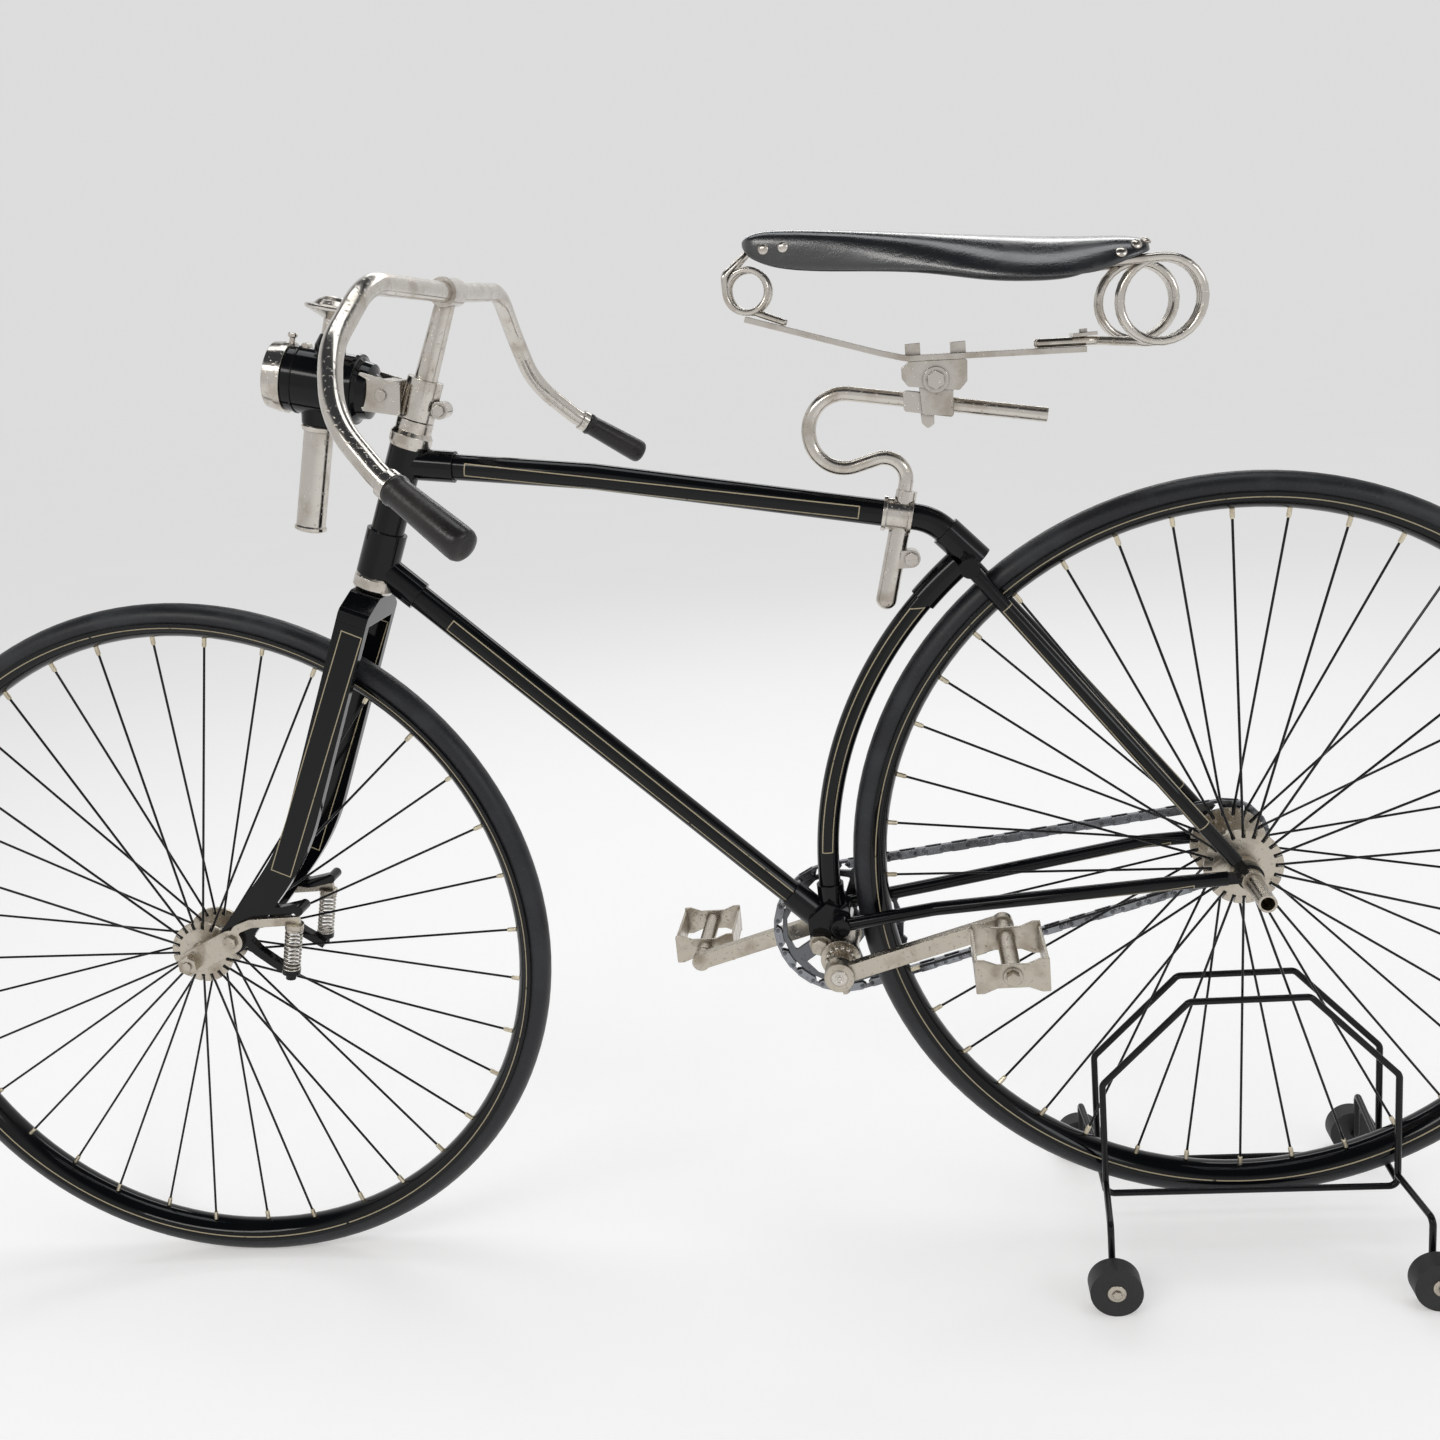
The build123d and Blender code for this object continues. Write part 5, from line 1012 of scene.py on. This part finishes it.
@dataclass
class Saddle:
    """The sprung saddle.

    Its places are given from the middle of its clamp bolt, and those of the coils' leads from the middle
    of their coil. A section is its place, half its width, its edge's height and its crown's. A flank runs
    from the edge upwards, in shares of half the width and of the height.
    """

    bolt: Pair
    sections: Sequence[tuple[float, float, float, float]] = (
        (-158.6, 7.0, 127.5, 131.0), (-157.6, 10.0, 125.0, 132.3), (-153.0, 17.0, 117.0, 136.3),
        (-142.0, 21.5, 111.0, 138.8), (-126.0, 24.0, 105.5, 138.2), (-95.0, 28.0, 100.5, 135.0),
        (-55.0, 34.0, 97.0, 130.0), (-7.0, 46.0, 92.0, 123.5), (32.0, 62.0, 83.5, 118.0),
        (61.0, 73.0, 77.5, 114.2), (97.0, 81.8, 74.0, 109.4), (120.0, 84.8, 73.2, 107.0),
        (136.0, 85.6, 74.6, 105.2), (148.0, 84.6, 79.0, 103.8), (161.0, 81.8, 83.0, 102.0),
        (171.0, 76.0, 85.5, 99.4), (176.8, 69.5, 88.0, 96.4),
    )
    thickness: float = 3.6
    nose_flank: Stations = ((1.0, 0.0), (0.995, 0.3), (0.97, 0.62), (0.88, 0.86), (0.66, 0.96), (0.33, 0.99))
    rear_flank: Stations = ((1.0, 0.0), (0.93, 0.25), (0.80, 0.50), (0.62, 0.72), (0.41, 0.88), (0.20, 0.97))
    tail_flank: Stations = ((1.0, 0.0), (0.98, 0.28), (0.93, 0.55), (0.82, 0.78), (0.62, 0.92), (0.32, 0.98))
    nose_from: float = -95.0
    nose_change: float = 150.0
    tail_from: float = 100.0
    tail_change: float = 50.0
    rivet_head: Stations = ((-0.6, 4.6), (0.4, 4.5), (1.3, 3.3), (1.8, 1.4))
    rivets: Sequence[Pair] = ((-139.0, 0.24), (-122.0, 0.29), (150.0, 0.20), (163.0, 0.31), (172.0, 0.45))
    front_coil: Coil = Coil((-157.0, 90.0), 18.0, 12.0, 5.8, 1.25, False, 2.75, 14)
    front_foot: Sequence[Place] = ((31.0, 12.0, -29.8), (5.0, 12.0, -18.4))
    front_head: Sequence[Place] = ((-18.0, 20.0, 15.0), (3.0, 4.0, 32.0))
    front_bends: Pair = (4.0, 7.0)
    rear_coil: Coil = Coil((183.0, 48.0), 33.0, 72.0, -7.6, 2.5, True, 3.65, 16)
    rear_tip: Place = (-42.0, 73.6, 33.0)
    rear_lead: Sequence[Place] = ((-11.0, 53.0, -33.0), (-47.0, 9.0, -28.7), (-96.0, 9.0, -26.5))
    rear_bend: float = 14.0

    def spot(self, x: float, y: float, z: float) -> Vector:
        """Return a place given from the clamp bolt."""
        return at(self.bolt[0] + x, y, self.bolt[1] + z)

    def arch(self, x: float, half: float, edge: float, crown: float, inset: float = 0.0) -> list[Vector]:
        """Draw the hide's section.

        Args:
            x: Its place behind the bolt.
            half: Half its width.
            edge: The height of its lower edge.
            crown: The height of its crown.
            inset: How far it lies inside the outer face.

        Returns:
            Its places from the left edge to the right.
        """
        rise, width = crown - edge - inset, half - inset
        if x < self.tail_from:
            first, last = self.nose_flank, self.rear_flank
            share = min(max((x - self.nose_from) / self.nose_change, 0.0), 1.0)
        else:
            first, last = self.rear_flank, self.tail_flank
            share = min((x - self.tail_from) / self.tail_change, 1.0)
        flank = []
        for (first_y, first_z), (last_y, last_z) in zip(first, last):
            across, height = first_y + (last_y - first_y) * share, first_z + (last_z - first_z) * share
            flank.append((width * across, edge + rise * height))
        left = [self.spot(x, -y, z) for y, z in flank]
        return left + [self.spot(x, 0.0, edge + rise)] + [self.spot(x, y, z) for y, z in reversed(flank)]

    def hide(self) -> None:
        """Stretch the hide over its frame."""
        former = Former("saddle_hide")
        former.skin([self.arch(*row) + self.arch(*row, self.thickness)[::-1] for row in self.sections])
        former.deliver(Leather(), Body.FRAME, "saddle_leather", levels=2)

    def studs(self) -> None:
        """Rivet the hide to its nose and cantle plates, square to its face on both sides."""
        former = Former("saddle_rivets")
        for x, share in self.rivets:
            after = next(index for index, row in enumerate(self.sections) if row[0] > x)
            first, last = self.sections[after - 1], self.sections[after]
            part = (x - first[0]) / (last[0] - first[0])
            row, near_row = ([low + (high - low) * way for low, high in zip(first, last)]
                             for way in (part, part + 0.05))
            step, rest = divmod(share * len(self.nose_flank), 1)
            step = int(step)
            for turn in (1, -1):
                here, there = self.arch(*row)[::turn], self.arch(*near_row)[::turn]
                place = here[step].lerp(here[step + 1], rest)
                out = (here[step + 1] - here[step]).cross(there[step] - here[step]).normalized()
                if out.dot(place - self.spot(x, 0.0, row[2])) < 0:
                    out = -out
                former.turn(place, out, self.rivet_head, 16)
        former.deliver(NICKEL, Body.FRAME)

    def lead(self, coil: Coil, places: Sequence[Place], flank: Flank) -> list[Vector]:
        """Return a coil's lead, given from the coil's middle, on one side of the saddle."""
        return [self.spot(coil.middle[0] + x, flank * y, coil.middle[1] + z) for x, y, z in places]

    def springs(self) -> None:
        """Bend the two front and two rear coils with their leads."""
        front, rear = Former("saddle_front_wires"), Former("saddle_rear_wires")
        foot_bend, head_bend = self.front_bends
        for flank in Flank:
            coil = self.front_coil
            wound = [self.spot(*place) for place in coil.wind(flank)]
            foot = rounded([*self.lead(coil, self.front_foot, flank), wound[0]], [foot_bend * MM])
            head = rounded([wound[-1], *self.lead(coil, self.front_head, flank)], [head_bend * MM])
            front.tube(foot[:-1] + wound + head[1:], coil.wire, coil.sides)
            coil = self.rear_coil
            wound = [self.spot(*place) for place in coil.wind(flank)]
            lead = rounded([wound[-1], *self.lead(coil, self.rear_lead, flank)], [self.rear_bend * MM] * 2)
            rear.tube(self.lead(coil, (self.rear_tip,), flank) + wound + lead[1:], coil.wire, coil.sides)
        front.deliver(NICKEL, Body.FRAME, "saddle_front_coils")
        rear.deliver(NICKEL, Body.FRAME, "saddle_rear_coils")

    def build(self) -> None:
        """Build the hide and its springs and dress the metal."""
        self.hide()
        self.studs()
        self.springs()
        NICKEL.dress("saddle_clamp", "saddle_leaf", "saddle_clip", "saddle_cantle", "saddle_nose")


@dataclass
class Steering:
    """The sprung fork, the stem and the handlebar."""

    blade: StraightLining = StraightLining((-290, 673), (-401, 443), 10.0)
    spring_foot: Pair = (103.0, -11.6)
    spring_head: Pair = (113.6, 31.4)
    spring_y: float = 46.0
    spring_reach: float = 7.6
    spring_wire: float = 1.15
    turns: int = 10
    steps_a_turn: int = 20
    washer: Stations = ((0.2, 8.4), (0.5, 8.9), (1.3, 8.9), (1.7, 8.4))
    washer_top: float = 1.6
    grip_foot: Place = (-124.68, 343.05, 826.58)
    grip_end: Place = (-69.64, 372.40, 783.92)
    grip: Stations = ((0.1, 9.6), (0.7, 11.4), (2.2, 12.2), (4.2, 12.2), (6.2, 11.3), (8.0, 11.1),
                      (38.0, 12.1), (66.0, 12.9), (70.5, 12.7), (73.4, 11.4), (75.0, 9.0), (75.5, 5.0))

    def grips(self) -> None:
        """Turn the two grips with their front rims and rounded ends."""
        former = Former("bar_grips")
        for flank in Flank:
            foot, end = (at(x, flank * y, z) for x, y, z in (self.grip_foot, self.grip_end))
            former.turn(foot, end - foot, self.grip, 36)
        former.deliver(GRIP, Body.STEERING, "grips")

    def springs(self) -> None:
        """Wind the two small coil springs of the fork between their washers."""
        former = Former("fork_coils")
        steps = self.turns * self.steps_a_turn
        for flank in Flank:
            foot, head = (at(FRONT_HUB[0] + x, flank * self.spring_y, FRONT_HUB[1] + z)
                          for x, z in (self.spring_foot, self.spring_head))
            way = (head - foot).normalized()
            side = way.cross(ACROSS).normalized()
            low, high = self.washer_top, (head - foot).length / MM - self.washer_top
            path = []
            for step in range(steps + 1):
                share = step / steps
                angle = 2 * math.pi * self.turns * share
                out = (side * math.cos(angle) + ACROSS * math.sin(angle)) * self.spring_reach * MM
                path.append(foot + way * (low + (high - low) * share) * MM + out)
            former.tube(path, self.spring_wire, 10)
            former.turn(foot, way, self.washer, 28)
            former.turn(head, -way, self.washer, 28)
        former.deliver(NICKEL, Body.STEERING, "fork_springs")

    def build(self) -> None:
        """Dress the fork and the bar and add the grips and springs."""
        Enamel("fork_enamel", lining=self.blade).dress("fork_blades")
        PLAIN_ENAMEL.dress("fork_crown")
        NICKEL.dress("head_clamp", "stem", "handlebar")
        STEEL.dress("front_axle", "spring_links")
        self.grips()
        self.springs()


@dataclass
class CandleLamp:
    """The candle lamp on its bracket; feet are given forward of its middle and above it."""

    middle: Pair = (-300.0, 902.0)
    lean: float = 15.0
    flange: Stations = ((-42.0, 30.5), (-41.4, 32.0), (-38.2, 32.0), (-37.6, 30.5))
    band: Stations = ((14.0, 30.4), (14.4, 31.0), (16.0, 31.0), (16.4, 30.4))
    knob_foot: Pair = (26.0, 30.0)
    knob: Stations = ((0.0, 2.6), (6.0, 2.6), (6.6, 4.2), (9.4, 4.4), (10.4, 3.0))
    hinge_foot: Pair = (12.0, 30.0)
    hinge: Stations = ((-6.0, 3.0), (-5.4, 3.6), (5.4, 3.6), (6.0, 3.0))

    def build(self) -> None:
        """Dress the lamp and add its flange, its band and its door's catch and hinge."""
        lean = math.radians(self.lean)
        front = Vector((-math.cos(lean), 0, math.sin(lean)))
        up = Vector((math.sin(lean), 0, math.cos(lean)))
        middle = at(self.middle[0], 0, self.middle[1])
        knob_foot, hinge_foot = (middle + (front * ahead + up * above) * MM
                                 for ahead, above in (self.knob_foot, self.hinge_foot))
        rings, catch = Former("lamp_flange"), Former("lamp_catch")
        rings.turn(middle, front, self.flange, 48)
        rings.turn(middle, front, self.band, 48)
        rings.deliver(PLAIN_ENAMEL, Body.STEERING)
        catch.turn(knob_foot, up, self.knob, 16)
        catch.turn(hinge_foot, ACROSS, self.hinge, 16)
        catch.deliver(NICKEL, Body.STEERING)
        PLAIN_ENAMEL.dress("lamp_body")
        NICKEL.dress("lamp_ring", "lamp_chimney", "lamp_candle_tube", "lamp_bracket")
        Glass().dress("lamp_glass")


@dataclass
class Stand:
    """The black wire stand with four small wheels; a hoop's corners are given behind the rear hub."""

    enamel: Enamel = Enamel("stand_paint", (0.005, 0.005, 0.006), gloss=0.24)
    wire: float = 3.2
    out: float = 29.0
    bend: float = 8.0
    corners: Sequence[Pair] = ((140.0, 56.6), (140.0, 174.4), (60.2, 258.1), (-50.2, 258.1), (-133.0, 174.4),
                               (-133.0, 56.6))
    cap: Stations = ((-0.6, 8.6), (0.5, 8.4), (1.0, 7.4))
    nut: Stations = ((0.4, 4.6), (3.2, 4.6), (3.8, 3.8))

    def hoops(self) -> None:
        """Bend the two closed wire hoops beside the wheel."""
        former = Former("stand_hoop_wires")
        for flank in Flank:
            places = [at(REAR_HUB[0] + x, flank * self.out, z) for x, z in self.corners]
            run = rounded([places[-1], *places, places[0]], [self.bend * MM] * len(places))[1:-1]
            former.tube(run, self.wire, 14, looped=True)
        former.deliver(self.enamel, Body.FRAME, "stand_hoops")

    def castor(self, body: Body) -> None:
        """Dress one small wheel and close its outer face with a steel cap and a nut.

        Args:
            body: The small wheel's body.
        """
        node = body.value.replace("small", "stand")
        flank = Flank.LEFT if body.value.endswith("left") else Flank.RIGHT
        low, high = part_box(node)
        face = (low + high) / 2
        face.y = low.y if flank is Flank.LEFT else high.y
        cap = Former(f"{node}_cap")
        cap.turn(face, ACROSS * flank, self.cap)
        cap.turn(face, ACROSS * flank, self.nut, 6)
        cap.deliver(STEEL, body)
        CASTOR.dress(node)

    def build(self) -> None:
        """Bend the hoops and dress the rest of the stand."""
        self.hoops()
        self.enamel.dress("stand_cross_rods", "stand_legs")
        for body in Body:
            if body.name.startswith("CASTOR"):
                self.castor(body)


def main() -> None:
    """Build the studio and the bicycle, piece by piece."""
    logging.basicConfig(level=logging.INFO, format="%(message)s")
    Studio().build()
    low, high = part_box("saddle_leather")
    bolt = (low[0] / MM + SADDLE_AHEAD, high[2] / MM - SADDLE_ABOVE)
    front = Wheel(End.FRONT, Body.FRONT_WHEEL, FRONT_HUB, spokes=18, flange_radius=32.0, flange_y=19.5)
    rear = Wheel(End.REAR, Body.REAR_WHEEL, REAR_HUB, spokes=20, flange_radius=35.5, flange_y=31.5)
    for assembly in (front, rear, FrameTubes(), Drive(), Saddle(bolt), Steering(), CandleLamp(), Stand()):
        assembly.build()


if __name__ == "__main__":
    main()
